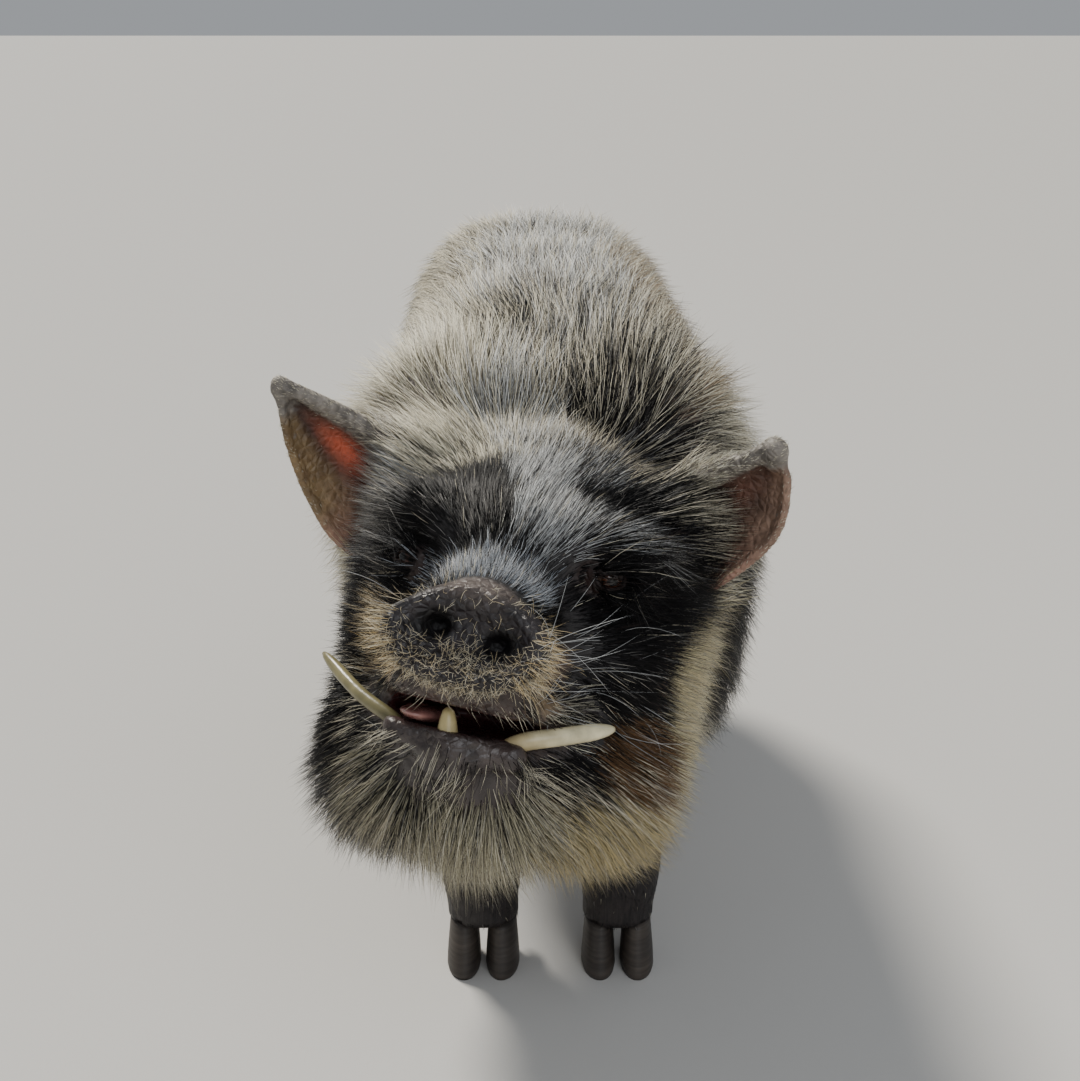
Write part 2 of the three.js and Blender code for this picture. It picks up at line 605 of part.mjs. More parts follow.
function makeTorsoNeckAndHead() {
  const headGrown = headCore(GAP);
  const body = torsoCore(0);
  const torso = largest(keepBeyond(body.add(coatSolid(torsoLocks)), torsoCut).subtract(coatSolid(neckLocks, GAP)));
  const neckCoat = keepBeyond(coatSolid(neckLocks), headCut);
  const neckSolid = keepBeyond(keepBefore(body, torsoCut), headCut).add(neckCoat).subtract(coatSolid(headLocks, GAP));
  put("torso", torso, looks.hide);

  const mouthOpening = ball(
    vec(MOUTH.x, MOUTH.y, MOUTH.z), vec(MOUTH.halfWidth, MOUTH.halfDepth, MOUTH.halfHeight), headToWorld, 20, 8);
  const nostrils = bothSides((side) => ball(
    vec(SNOUT.x + side * NOSTRIL.out, SNOUT.y - SNOUT.halfDepth, SNOUT.z + NOSTRIL.rise),
    vec(NOSTRIL.halfWidth, NOSTRIL.depth, NOSTRIL.halfHeight), headToWorld, 12, 8));
  let head = keepBefore(headCore(0), headCut).add(coatSolid(headLocks));
  for (const side of [1, -1]) head = head.add(lidRing(side));
  head = head.subtract(mouthOpening);
  for (const hole of nostrils) head = head.subtract(hole);
  for (const side of [1, -1]) {
    const name = side > 0 ? "left" : "right";
    head = head.subtract(lidOpening(side)).subtract(eyeBall(side, GAP));
    head = head.subtract(tusk(tusks[name], GAP)).subtract(earSheet(ears[name], GAP));
    put(`eye_${name}`, eyeBall(side, 0), looks.eye);
  }
  head = head.subtract(tongueSolid(GAP)).subtract(toothPeg(GAP));
  for (const name of ["left", "right"]) {
    const ear = keepBefore(earSheet(ears[name], 0), headCut).subtract(headGrown).subtract(head);
    put(`ear_${name}`, largest(ear), looks.darkHide);
  }
  put("neck", largest(neckSolid.subtract(torso).subtract(head)), looks.hide);
  put("head", largest(keepBeyond(head, snoutCut)), looks.darkHide);
  put("snout", largest(keepBefore(head, snoutCut)), looks.snout);
  for (const name of ["left", "right"]) {
    put(`tusk_${name}`, tusk(tusks[name], 0).subtract(tongueSolid(GAP)), looks.ivory);
  }
  put("tongue", tongueSolid(0), looks.tongue);
  put("tooth_front", toothPeg(0), looks.ivory);
}

// What the legs and the tail are cut back by, to butt against the trunk and its coat
const clearOfTorso = torsoCore(GAP).add(coatSolid([...torsoLocks, ...neckLocks], GAP));

function makeLegs() {
  for (const side of [1, -1]) {
    const name = side > 0 ? "left" : "right";
    const pairs = [["front", FRONT_KNEE_HEIGHT], ["hind", HOCK_HEIGHT]];
    for (const [place, kneeHeight] of pairs) {
      const joints = legJoints[place](side);
      const foot = joints.at(-1).at;
      const locks = growCoat(legField(joints), legLine(joints), 32, 400, legCoat);
      const leg = legCore(joints, 0).add(coatSolid(locks)).subtract(clearOfTorso);
      const knee = { at: vec(0, 0, kneeHeight), normal: vec(0, 0, 1) };
      const coronet = { at: vec(0, 0, HOOF_TOP), normal: vec(0, 0, 1) };
      put(`${place}_upper_leg_${name}`, largest(keepBeyond(leg, knee)), looks.darkHide);
      const lowerLeg = keepBeyond(keepBefore(leg, knee), coronet);
      const grownLower = legCore(joints, GAP);
      put(`${place}_lower_leg_${name}`, largest(lowerLeg), looks.darkHide);
      for (const toe of [1, -1]) {
        const toeName = toe * side > 0 ? "outer" : "inner";
        put(`${place}_hoof_${toeName}_${name}`, hoof(foot, toe), looks.hoof);
        const claw = largest(dewclaw(foot, toe, 0).subtract(grownLower));
        put(`${place}_dewclaw_${toeName}_${name}`, claw, looks.hoof);
      }
    }
  }
}

// A hoof toe: a D-shaped wall, wider at the sole, with its tip forward and its sole flat on the floor.
function hoof(foot, toe) {
  const top = HOOF_TOP - GAP / 2;
  const rows = [
    { z: 0, grow: 1.12, shift: -9 },
    { z: HOOF_TOP / 3, grow: 1.08, shift: -5 },
    { z: top, grow: 0.9, shift: 2 },
  ];
  const sides = 10;
  const centre = (row) => vec(foot.x + toe * HOOF.out, foot.y + HOOF.back + row.shift, row.z);
  const points = [];
  const triangles = [];
  for (const row of rows) {
    for (let j = 0; j < sides; j++) {
      const angle = (j / sides) * 2 * Math.PI;
      const share = Math.cos(angle) < -1e-9 ? HOOF.innerShare : 1;
      const across = toe * Math.cos(angle) * HOOF.halfWidth * share;
      points.push(centre(row).add(vec(across, Math.sin(angle) * HOOF.halfLength, 0).multiplyScalar(row.grow)));
    }
  }
  const low = points.push(centre(rows[0])) - 1;
  const high = points.push(centre(rows.at(-1))) - 1;
  const last = (rows.length - 1) * sides;
  for (let j = 0; j < sides; j++) {
    const next = (j + 1) % sides;
    triangles.push([low, next, j], [high, last + j, last + next]);
    for (let i = 0; i < last; i += sides) {
      triangles.push([i + j, i + next, i + sides + next], [i + j, i + sides + next, i + sides + j]);
    }
  }
  return solidOf(points, triangles);
}

// A dewclaw: a small blunt horn behind and above the hoof.
function dewclaw(foot, toe, grow) {
  const x = foot.x + toe * DEWCLAW.out;
  const y = foot.y + DEWCLAW.back;
  const path = [
    vec(x, y, HOOF_TOP + 26),
    vec(x + toe * 2, y + 14, HOOF_TOP + 18),
    vec(x + toe * 3, y + 22, HOOF_TOP + 6),
  ];
  return tube(path, [DEWCLAW.radius + grow, DEWCLAW.radius + grow, 5 + grow], 6);
}

// The tail hangs from the top of the rump in a loose bend, and ends in a tassel of long hair.
function makeTail() {
  const at = (across, back, drop) =>
    vec(RUMP_X + across, TAIL_BASE.y + back, TAIL_BASE.z - drop * TAIL_LENGTH);
  const route = [
    at(0, -25, -0.02), at(0, 12, 0.02), at(8, 30, 0.25), at(24, 24, 0.55), at(10, 18, 0.8), at(-14, 26, 0.97),
  ];
  const steps = 11;
  const places = curveOf(route, steps);
  const radii = places.map((_, i) => lerp(17, 6, i / steps));
  const tassel = tube(
    [at(4, 20, 0.84), at(-8, 24, 0.96), at(-16, 28, 1.12), at(-20, 30, 1.28), at(-20, 30, 1.4)],
    [7, 13, 15, 11, 2], 7);
  const tail = tube(places, radii, 8).add(tassel);
  put("tail", largest(tail.subtract(clearOfTorso)), looks.hide);
}

makeTorsoNeckAndHead();
makeLegs();
makeTail();

const pig = new THREE.Group();
for (const { name, solid, look } of nodes) {
  const { vertProperties, triVerts, numProp } = solid.getMesh();
  const geometry = new THREE.BufferGeometry();
  const places = new Float32Array((vertProperties.length / numProp) * 3);
  for (let i = 0; i < places.length / 3; i++) {
    for (let k = 0; k < 3; k++) places[3 * i + k] = vertProperties[i * numProp + k];
  }
  geometry.setAttribute("position", new THREE.BufferAttribute(places, 3));
  geometry.setIndex(new THREE.BufferAttribute(triVerts, 1));
  geometry.computeVertexNormals();
  const mesh = new THREE.Mesh(geometry, new THREE.MeshStandardMaterial(look));
  mesh.name = name;
  pig.add(mesh);
}

// The origin is on the floor, under the middle of the whole.
const bounds = new THREE.Box3().setFromObject(pig);
const middle = bounds.getCenter(vec());
pig.position.set(-middle.x, -middle.y, -bounds.min.z);

export default pig;
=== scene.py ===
"""The looks of a standing kunekune pig: one skin with its folds, lids, lips and ears, a coat of bristles
over it, and separate eyes, tusks, tooth, tongue, hooves and dewclaws.

Shapes are worked out in millimetres in the pig's own frame: the front feet stand at y 0, the pig faces -Y
and its left side is +X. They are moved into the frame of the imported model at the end, in metres."""
import math

import bpy
import numpy as np
from mathutils import Matrix, Vector, kdtree


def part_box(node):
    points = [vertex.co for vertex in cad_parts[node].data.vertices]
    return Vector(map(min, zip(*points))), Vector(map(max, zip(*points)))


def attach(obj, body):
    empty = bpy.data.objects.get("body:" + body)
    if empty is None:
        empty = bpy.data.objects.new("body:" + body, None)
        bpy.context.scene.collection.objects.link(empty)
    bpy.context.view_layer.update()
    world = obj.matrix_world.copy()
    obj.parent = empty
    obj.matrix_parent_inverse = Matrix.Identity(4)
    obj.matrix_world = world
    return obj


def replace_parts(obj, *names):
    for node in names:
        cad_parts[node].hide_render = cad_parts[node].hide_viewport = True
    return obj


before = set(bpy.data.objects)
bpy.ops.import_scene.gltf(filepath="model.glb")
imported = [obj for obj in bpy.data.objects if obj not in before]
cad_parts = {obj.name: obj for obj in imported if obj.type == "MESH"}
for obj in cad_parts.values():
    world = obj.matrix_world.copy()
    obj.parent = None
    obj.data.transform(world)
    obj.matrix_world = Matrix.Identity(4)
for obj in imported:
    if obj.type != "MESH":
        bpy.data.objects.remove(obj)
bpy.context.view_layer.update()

# Driving dimensions, as in the solids
MM = 0.001
BACK_HEIGHT = 621
BELLY_HEIGHT = 186
TRUNK_HALF_WIDTH = 163
SHOULDER_Y = 60
RUMP_Y = 600
RUMP_X = -12
FRONT_FOOT = (64, 0)
HIND_FOOT = (88, 625)
HOOF_TOP = 48
FRONT_KNEE_HEIGHT = 160
HOCK_HEIGHT = 150
TAIL_BASE = (772, 545)
TAIL_LENGTH = 235
HEAD_PLACE = np.array([-15.0, -191.0, 478.0])
HEAD_YAW, HEAD_PITCH, HEAD_ROLL = -12, -25, 7
EYE_RADIUS = 13
EYE_DEPTH = 13
SKULL_MIDDLE = np.array([0.0, -12.0, -20.0])
SNOUT = SNOUT_X, SNOUT_Y, SNOUT_Z = 6, -166, -71
SNOUT_RADII = (53, 13, 33)
SNOUT_TILT = -8
NOSTRIL_OUT = 20.5
MOUTH = (-4, -106, -125)
MOUTH_RADII = (60, 58, 10)
EAR_CUP = 24
HOOF_OFFSET = 17.2
HOOF_MIDDLE_Y = -13.535

# How far the bare skin lies inside the solids' own core
TRUNK_INSET = 10
NECK_INSET = 9
HEAD_INSET = 5
TAIL_INSET = 2

# Coat
COAT_REACH = 198
ROOT_DEPTH = 1.5
# Hairs are painted darker at the root, which is painted shade within the coat, and lighter at the tip, which
# is painted light
ROOT_PAINTED_SHADE, TIP_PAINTED_LIGHT = 0.52, 1.3
SHADE_SPREAD = 0.17
MOST_TRIANGLES = 190000
HAIR_PATCH = 0.003

# Camera, from the photograph's view
PHOTO_FOCAL = 1500
PHOTO_HEIGHT = 1081
SENSOR = 36
CAMERA_PLACE = (-10, -1245, 850)
CAMERA_PITCH = 19

rng = np.random.default_rng(7)


def rotation(axis, degrees):
    return np.array(Matrix.Rotation(math.radians(degrees), 3, axis))


HEAD_TURN = rotation("Z", HEAD_YAW) @ rotation("X", HEAD_PITCH) @ rotation("Y", HEAD_ROLL)


def to_head(p):
    return (p - HEAD_PLACE) @ HEAD_TURN


def from_head(p):
    return np.asarray(p, float) @ HEAD_TURN.T + HEAD_PLACE


def frame_shift():
    """Where the pig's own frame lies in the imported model: the front hooves give its middle and its y 0."""
    left_low, left_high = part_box("front_hoof_outer_left")
    right_low, right_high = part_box("front_hoof_outer_right")
    x = (left_low.x + left_high.x + right_low.x + right_high.x) / 4
    y = (left_low.y + left_high.y) / 2 - HOOF_MIDDLE_Y * MM
    return np.array([x, y, 0.0])


SHIFT = frame_shift()


def unit(v):
    return v / np.maximum(np.linalg.norm(v, axis=-1, keepdims=True), 1e-9)


def square_to(v, axis):
    """The directions v turned until they are square to the directions of axis."""
    return unit(v - (v * axis).sum(axis=1, keepdims=True) * axis)


def smoothstep(low, high, x):
    t = np.clip((x - low) / (high - low), 0, 1)
    return t * t * (3 - 2 * t)


def mix(a, b, t):
    return a + (b - a) * t


CUBE_CORNERS = [(a, b, c) for a in (0, 1) for b in (0, 1) for c in (0, 1)]
NOISE_PRIMES = (73856093, 19349663, 83492791)
NOISE_STIR = 1274126177
NOISE_RANGE = 0x7FFFFFFF


def noise(p, size, seed=0):
    """Smooth random values from -1 to 1, with features about size across."""
    q = p / size + seed * 17.31
    base = np.floor(q).astype(np.int64)
    part = q - base
    blend = part * part * (3 - 2 * part)
    total = np.zeros(len(p))
    for corner in CUBE_CORNERS:
        x, y, z = ((base + corner) * NOISE_PRIMES).T
        mixed = x ^ y ^ z
        mixed = (mixed ^ (mixed >> 13)) * NOISE_STIR & NOISE_RANGE
        weight = np.prod(np.where(corner, blend, 1 - blend), axis=1)
        total += weight * (mixed / (NOISE_RANGE // 2) - 1)
    return total


def clouds(p, size, seed):
    """The same noise as shares from 0 to 1, in a column."""
    return (0.5 + 0.5 * noise(p, size, seed))[:, None]


# Rounded masses: each gives how far points lie outside it, negative inside.
def ellipsoid(centre, radii, tilt=0.0):
    c, s = math.cos(math.radians(tilt)), math.sin(math.radians(tilt))
    rx, ry, rz = radii

    def distance(p):
        x = p[:, 0] - centre[0]
        dy = p[:, 1] - centre[1]
        dz = p[:, 2] - centre[2]
        y = c * dy + s * dz
        z = c * dz - s * dy
        near = np.sqrt((x / rx) ** 2 + (y / ry) ** 2 + (z / rz) ** 2)
        slope = np.sqrt((x / rx**2) ** 2 + (y / ry**2) ** 2 + (z / rz**2) ** 2)
        return np.where(slope < 1e-7, -min(radii), near * (near - 1) / np.maximum(slope, 1e-7))

    return distance


def round_cone(a, radius_a, b, radius_b):
    a = np.asarray(a, float)
    axis = np.asarray(b, float) - a

    def distance(p):
        d = p - a
        t = np.clip(d @ axis / (axis @ axis), 0, 1)
        return np.linalg.norm(d - t[:, None] * axis, axis=1) - mix(radius_a, radius_b, t)

    return distance


def soft_min(a, b, softness):
    h = np.maximum(softness - np.abs(a - b), 0) / softness
    return np.minimum(a, b) - h * h * softness / 4


def soft_max(a, b, softness):
    return -soft_min(-a, -b, softness)


def soften(softness, masses):
    """One mass made of several that run into each other."""
    def distance(p):
        result = masses[0](p)
        for mass in masses[1:]:
            result = soft_min(result, mass(p), softness)
        return result

    return distance


def both_sides(make):
    return [make(1), make(-1)]


# Trunk, neck, legs and tail
trunk_middle = (BACK_HEIGHT + BELLY_HEIGHT) / 2
trunk_half_height = (BACK_HEIGHT - BELLY_HEIGHT) / 2
trunk = soften(60, [
    ellipsoid((0, SHOULDER_Y, trunk_middle + 6), (TRUNK_HALF_WIDTH, 172, trunk_half_height - 10)),
    ellipsoid((0, 330, trunk_middle - 4), (TRUNK_HALF_WIDTH + 10, 330, trunk_half_height)),
    ellipsoid((RUMP_X, RUMP_Y, trunk_middle + 22), (TRUNK_HALF_WIDTH - 2, 188, trunk_half_height - 24)),
    *both_sides(lambda side: round_cone(
        (side * 46, 130, BACK_HEIGHT - 84), 78, (RUMP_X + side * 50, RUMP_Y + 40, BACK_HEIGHT - 90), 82)),
    *both_sides(lambda side: ellipsoid((side * 100, SHOULDER_Y - 30, 370), (72, 120, 165))),
    *both_sides(lambda side: ellipsoid((RUMP_X + side * 92, RUMP_Y + 5, 345), (80, 140, 175))),
])
neck = soften(50, [
    round_cone((0, 30, 445), 146, from_head((0, 20, -34)), 90),
    ellipsoid((0, -62, 345), (100, 96, 100)),
    ellipsoid((-72, -46, 490), (96, 100, 108)),
    ellipsoid((60, -16, 486), (84, 100, 104)),
])


def front_leg(side):
    x = FRONT_FOOT[0]
    return [
        ((side * (x + 34), 20, 310), 62), ((side * (x + 12), 12, FRONT_KNEE_HEIGHT + 25), 46),
        ((side * (x + 2), 0, 95), 33), ((side * x, -3, HOOF_TOP + 6), 35),
    ]


def hind_leg(side):
    x, y = HIND_FOOT
    return [
        ((RUMP_X + side * (x + 2), RUMP_Y - 10, 310), 74), ((RUMP_X + side * (x + 4), RUMP_Y - 8, 235), 64),
        ((RUMP_X + side * x, y + 28, HOCK_HEIGHT + 5), 39), ((RUMP_X + side * x, y + 4, 90), 33),
        ((RUMP_X + side * x, y, HOOF_TOP + 6), 34),
    ]


def leg_distance(joints):
    lengths = [round_cone(a[0], a[1], b[0], b[1]) for a, b in zip(joints, joints[1:])]
    body = soften(22, lengths)

    def distance(p):
        inset = mix(1.5, 8.0, smoothstep(90, 240, p[:, 2]))
        return soft_max(body(p) + inset, HOOF_TOP - 1 - p[:, 2], 3)

    return distance


LEGS = {
    "leg_front_left": front_leg(1), "leg_front_right": front_leg(-1),
    "leg_hind_left": hind_leg(1), "leg_hind_right": hind_leg(-1),
}


def curve_through(points, count):
    """A smooth line through points: count + 1 places at even steps of its own parameter."""
    points = np.asarray(points, float)
    padded = np.vstack([2 * points[0] - points[1], points, 2 * points[-1] - points[-2]])
    places = []
    for k in range(count + 1):
        s = min(k / count * (len(points) - 1), len(points) - 1 - 1e-9)
        i = int(s)
        t = s - i
        a, b, c, d = padded[i:i + 4]
        places.append(0.5 * (2 * b + (c - a) * t + (2 * a - 5 * b + 4 * c - d) * t * t
                             + (3 * b - a - 3 * c + d) * t**3))
    return np.array(places)


# Steps across and back from the tail's base, and up as shares of its length
TAIL_ROUTE = (
    (0, -25, 0.02), (0, 12, -0.02), (8, 30, -0.25), (24, 24, -0.55), (10, 18, -0.8), (-14, 26, -0.97),
)
tail_line = curve_through([
    (RUMP_X + across, TAIL_BASE[0] + back, TAIL_BASE[1] + rise * TAIL_LENGTH)
    for across, back, rise in TAIL_ROUTE
], 11)
tail_radii = np.linspace(17, 6, len(tail_line)) - TAIL_INSET
tail = soften(6, [
    round_cone(a, ra, b, rb) for a, b, ra, rb in zip(tail_line, tail_line[1:], tail_radii, tail_radii[1:])
])

# Head, in its own frame, with its muzzle along -Y
head_masses = soften(24, [
    soften(34, [
        ellipsoid((0, 10, 2), (98, 84, 80)),
        *both_sides(lambda side: ellipsoid((side * 86, 6, 24), (34, 34, 44))),
        ellipsoid((0, -44, -8), (74, 58, 56)),
        round_cone((2, -60, -66), 60, (SNOUT_X, -142, SNOUT_Z), 41),
        ellipsoid((70, -2, -70), (68, 80, 80)),
        ellipsoid((-60, -2, -62), (64, 80, 76)),
        ellipsoid((74, -8, -140), (62, 68, 66)),
        ellipsoid((-60, -14, -156), (60, 66, 68)),
        ellipsoid((0, -46, -154), (78, 76, 66)),
    ]),
    round_cone((0, -60, -138), 46, (0, -120, -146), 25),
    round_cone((-34, -126, -104), 19, (34, -126, -104), 19),
    *both_sides(lambda side: ellipsoid((side * 60, -66, 8), (32, 26, 20))),
])
snout_disc = ellipsoid(SNOUT, SNOUT_RADII, SNOUT_TILT)
snout_dish = ellipsoid((SNOUT_X, SNOUT_Y - 18, SNOUT_Z + 1), (40, 14, 19), SNOUT_TILT)
mouth_slit = ellipsoid(MOUTH, MOUTH_RADII)
lower_lip = round_cone((-40, -122, -141), 10, (40, -118, -143), 10)
lip_bulges = soften(10, [
    round_cone((50, -112, -112), 11, (66, -78, -108), 13),
    round_cone((-48, -112, -112), 10, (-62, -80, -108), 12),
])


def snout_rim(p):
    """The thick rim round the snout: an oval ring that faces -Y and rises to a blunt peak at its top."""
    c, s = math.cos(math.radians(SNOUT_TILT)), math.sin(math.radians(SNOUT_TILT))
    dy, dz = p[:, 1] - SNOUT_Y + 8, p[:, 2] - SNOUT_Z
    y, z = c * dy + s * dz, c * dz - s * dy
    half_width, half_height = SNOUT_RADII[0] - 6, SNOUT_RADII[2] - 5
    mean = (half_width + half_height) / 2
    roundness = mix(2.2, 1.55, smoothstep(-6, 14, z))
    across = (np.abs(p[:, 0] - SNOUT_X) / half_width) ** roundness
    around = (across + (np.abs(z) / half_height) ** roundness) ** (1 / roundness) * mean - mean
    return np.hypot(around, y) - mix(7.4, 6.6, smoothstep(0, 20, z))


NOSTRIL = soften(4, [ellipsoid((0, -1, 1), (15, 10, 9.5)), ellipsoid((0, 2, 0), (9.5, 20, 7.5))])
NOSTRIL_LEAN = math.radians(-12)
NOSTRIL_DROP = 2.5


def nostril(local, side):
    """The distance to a nostril, in its own frame: across it, into the snout and up it."""
    c, s = math.cos(NOSTRIL_LEAN), math.sin(NOSTRIL_LEAN)
    x = local[:, 0] - SNOUT_X - side * NOSTRIL_OUT
    z = local[:, 2] - SNOUT_Z + side * NOSTRIL_DROP
    return NOSTRIL(np.stack([c * x - s * z, local[:, 1] - (SNOUT_Y - 13), c * z + s * x], axis=1))


EYE_AIM = {1: (0.74, -0.66, 0.05), -1: (-0.74, -0.66, -0.06)}


def plain_head(local):
    return soft_min(head_masses(local), snout_disc(local), 10)


def socket_frame(side):
    """The eye's place in the head's frame, where its line of sight leaves the plain head, and its axes."""
    steps = np.arange(0, 200, 0.25)
    line = SKULL_MIDDLE + steps[:, None] * unit(np.array(EYE_AIM[side]))
    place = line[np.argmax(plain_head(line) > 0)]
    near = plain_head(place + np.vstack([np.eye(3), -np.eye(3)]) * 0.5)
    outward = unit(near[:3] - near[3:])
    along = np.array([side * 0.55, 0.8, 0.22])
    along = unit(along - (along @ outward) * outward)
    return place, np.stack([along, np.cross(outward, along), outward], axis=1)


EYES = {1: socket_frame(1), -1: socket_frame(-1)}


def to_eye(local, side):
    """Points in an eye's own frame: along its slit, across it and outward."""
    place, axes = EYES[side]
    return (local - place) @ axes


def around_place(local, centre, radii, edge=0.35):
    """1 in the middle of an oval place on the head, and 0 outside it."""
    return smoothstep(1 + edge, 1 - edge, np.linalg.norm((local - centre) / radii, axis=1))


def bare_chin(local):
    return around_place(local, (-2, -118, -152), (60, 36, 28))


def callus(local):
    return around_place(local, (-124, -34, -118), (34, 50, 66))


def lumps(local):
    """Uneven skin on the chin below the lip and on the callus of the right cheek."""
    chin, hard = bare_chin(local), callus(local)
    height = np.zeros(len(local))
    rough = (chin + hard) > 0
    q = local[rough]
    height[rough] = 1.8 * chin[rough] * noise(q, 9, 51) + hard[rough] * (1.8 * noise(q, 6, 52) - 5)
    return height


LIDS = ellipsoid((0, 0, -EYE_DEPTH), (EYE_RADIUS + 2.6, EYE_RADIUS + 1.2, EYE_RADIUS + 2.6))
LID_OPENING = ellipsoid((0, -0.8, 2), (10.4, 2.5, 18))
EYE_BALL = ellipsoid((0, 0, -EYE_DEPTH), (EYE_RADIUS + 0.3,) * 3)
EYE_HOLLOW = ellipsoid((0, 2, 9), (32, 22, 17))


def lid_folds(q):
    """Two soft wrinkles that run round the eye, outside its lids."""
    around = np.hypot(q[:, 0], 1.6 * q[:, 1])
    return 0.9 * np.sin((around - 12) / 1.5) * smoothstep(30, 20, around) * smoothstep(11, 15, around)


def head_distance(local):
    """The head's skin without its ears."""
    snout_gap = np.linalg.norm(local - SNOUT, axis=1)
    inset = mix(0.8, HEAD_INSET, smoothstep(52, 88, snout_gap))
    folds = np.sin((local[:, 1] + 0.25 * np.abs(local[:, 0])) / 1.75)
    on_bridge = smoothstep(-150, -140, local[:, 1]) * smoothstep(-96, -112, local[:, 1])
    folds *= on_bridge * smoothstep(-80, -60, local[:, 2])
    head = head_masses(local) + inset + 0.7 * folds
    head = soft_min(head, lip_bulges(local) + 3, 12)
    head = soft_min(head, snout_disc(local) + 0.6, 8)
    head = soft_min(head, snout_rim(local), 5)
    head = soft_max(head, -snout_dish(local), 5)
    for side in (1, -1):
        head = soft_max(head, -nostril(local, side), 3)
        q = to_eye(local, side)
        head = soft_max(head, -EYE_HOLLOW(q), 14) - lid_folds(q)
        head = soft_min(head, LIDS(q), 7)
        head = soft_max(head, -LID_OPENING(q), 2.5)
        head = soft_max(head, -EYE_BALL(q), 0.5)
    head = soft_min(head, lower_lip(local), 10)
    return soft_max(head + lumps(local), -mouth_slit(local), 5)


# Ears: a cupped sheet between an upper and an outer edge, with a rolled upper rim and a curled tip
EARS = {  # the upper edge and the outer edge, from root to tip, and the radius of the curl
    "ear_left": (
        ((70, 4, 40), (100, 2, 72), (124, -8, 86), (146, -20, 95), (160, -26, 104)),
        ((92, 8, -34), (140, 8, 6), (172, -4, 44), (175, -18, 80), (165, -26, 101)), 9.6,
    ),
    "ear_right": (
        ((-70, 2, 40), (-112, -2, 54), (-150, -12, 70), (-180, -32, 78), (-207, -44, 84)),
        ((-92, 8, -42), (-150, 8, -22), (-178, -1, 5), (-197, -22, 41), (-207, -43, 78)), 6.8,
    ),
}
EAR_ROWS, EAR_COLUMNS = 48, 30


class Ear:
    """A sampled ear sheet in the head's frame, and the distance to its skin."""

    def __init__(self, upper, outer, knob):
        along = np.linspace(0, 1, EAR_ROWS + 1)[:, None, None]
        across = np.linspace(0, 1, EAR_COLUMNS + 1)[None, :, None]
        top = curve_through(upper, EAR_ROWS)[:, None]
        low = curve_through(outer, EAR_ROWS)[:, None]
        sheet = mix(top, low, across)
        sheet = sheet + np.array([0, 1, 0]) * EAR_CUP * 4 * across * (1 - across) * np.sqrt(1 - along)
        ripple = np.sin(across * 19 + along * 5) * np.sin(along * np.pi) * 0.7
        sheet = sheet + np.array([0, 1, 0]) * ripple
        normal = unit(np.cross(np.gradient(sheet, axis=0), np.gradient(sheet, axis=1)))
        roll = mix(4.6, 3.4, along) * np.exp(-(across / 0.1) ** 2)
        edge = 0.9 * np.exp(-((1 - across) / 0.05) ** 2)
        half = mix(3.2, 2.1, along) + roll + edge
        self.samples = sheet.reshape(-1, 3)
        self.normals = normal.reshape(-1, 3)
        self.half = np.broadcast_to(half, sheet.shape[:2] + (1,)).reshape(-1)
        rows, columns = np.divmod(np.arange(len(self.samples)), EAR_COLUMNS + 1)
        self.on_edge = (rows == 0) | (rows == EAR_ROWS) | (columns == 0) | (columns == EAR_COLUMNS)
        self.along = rows / EAR_ROWS
        self.across = columns / EAR_COLUMNS
        tip = sheet[-1].mean(axis=0)
        back = unit(tip - sheet[-6].mean(axis=0))
        self.knob = round_cone(tip - back * knob, 0.85 * knob, tip, knob)
        self.low = self.samples.min(axis=0) - 26
        self.high = self.samples.max(axis=0) + 26
        self.length = unit(tip - sheet[0].mean(axis=0))

    def nearest(self, local):
        """The number of the sample nearest to each point."""
        found = np.empty(len(local), int)
        squares = (self.samples**2).sum(axis=1)
        for start in range(0, len(local), 4096):
            part = local[start:start + 4096]
            found[start:start + 4096] = np.argmin(squares - 2 * part @ self.samples.T, axis=1)
        return found

    def faces_forward(self, local, i):
        """Which points lie in front of the sheet, inside the cup."""
        return local[:, 1] < self.samples[i, 1]

    def distance(self, local):
        result = np.full(len(local), 60.0)
        near = np.all((local > self.low) & (local < self.high), axis=1)
        if near.any():
            p = local[near]
            i = self.nearest(p)
            offset = p - self.samples[i]
            flat = np.abs((offset * self.normals[i]).sum(axis=1))
            full = np.linalg.norm(offset, axis=1)
            sheet = np.where(self.on_edge[i], full, flat) - self.half[i]
            result[near] = soft_min(sheet, self.knob(p), 6)
        return result


ears = {name: Ear(*edges) for name, edges in EARS.items()}
PARTS = ["trunk", "head", *ears, *LEGS, "tail"]


def lies_on(part, *names):
    """Which points lie on the named parts of the body."""
    return np.isin(part, [PARTS.index(name) for name in names])


def part_distances(p):
    """The distance of points to the skin of each part of the body."""
    local = to_head(p)
    x, y, z = p.T
    sway = 1.6 * np.sin(x / 31 + 1) * np.sin(y / 43) * np.sin(z / 37 + 2)
    body = soft_min(trunk(p) + TRUNK_INSET, neck(p) + NECK_INSET, 60) + sway
    near_head = y < 60
    head = np.full(len(p), 200.0)
    head[near_head] = head_distance(local[near_head])
    result = {"trunk": body, "head": head}
    for name, ear in ears.items():
        result[name] = ear.distance(local)
    for name, joints in LEGS.items():
        result[name] = leg_distance(joints)(p)
    result["tail"] = tail(p)
    return result


def skin_distance(p):
    parts = part_distances(p)
    skin = soft_min(parts["trunk"], parts["head"], 44)
    for name in ears:
        skin = soft_min(skin, parts[name], 14)
    for name in LEGS:
        skin = soft_min(skin, parts[name], 18)
    return soft_min(skin, parts["tail"], 12)


# Skin mesh: a net of quads through the cells of an uneven grid that the skin crosses, finest on the head
def graded(*spans):
    return np.concatenate([np.arange(start, stop, step, dtype=float) for start, stop, step in spans])


GRID = (
    graded((-236, -132, 3), (-132, 132, 2.5), (132, 232, 3)),
    graded((-420, -112, 2.5), (-112, -40, 6), (-40, 830, 10)),
    graded((34, 270, 6), (270, 612, 2.5), (612, 640, 4)),
)


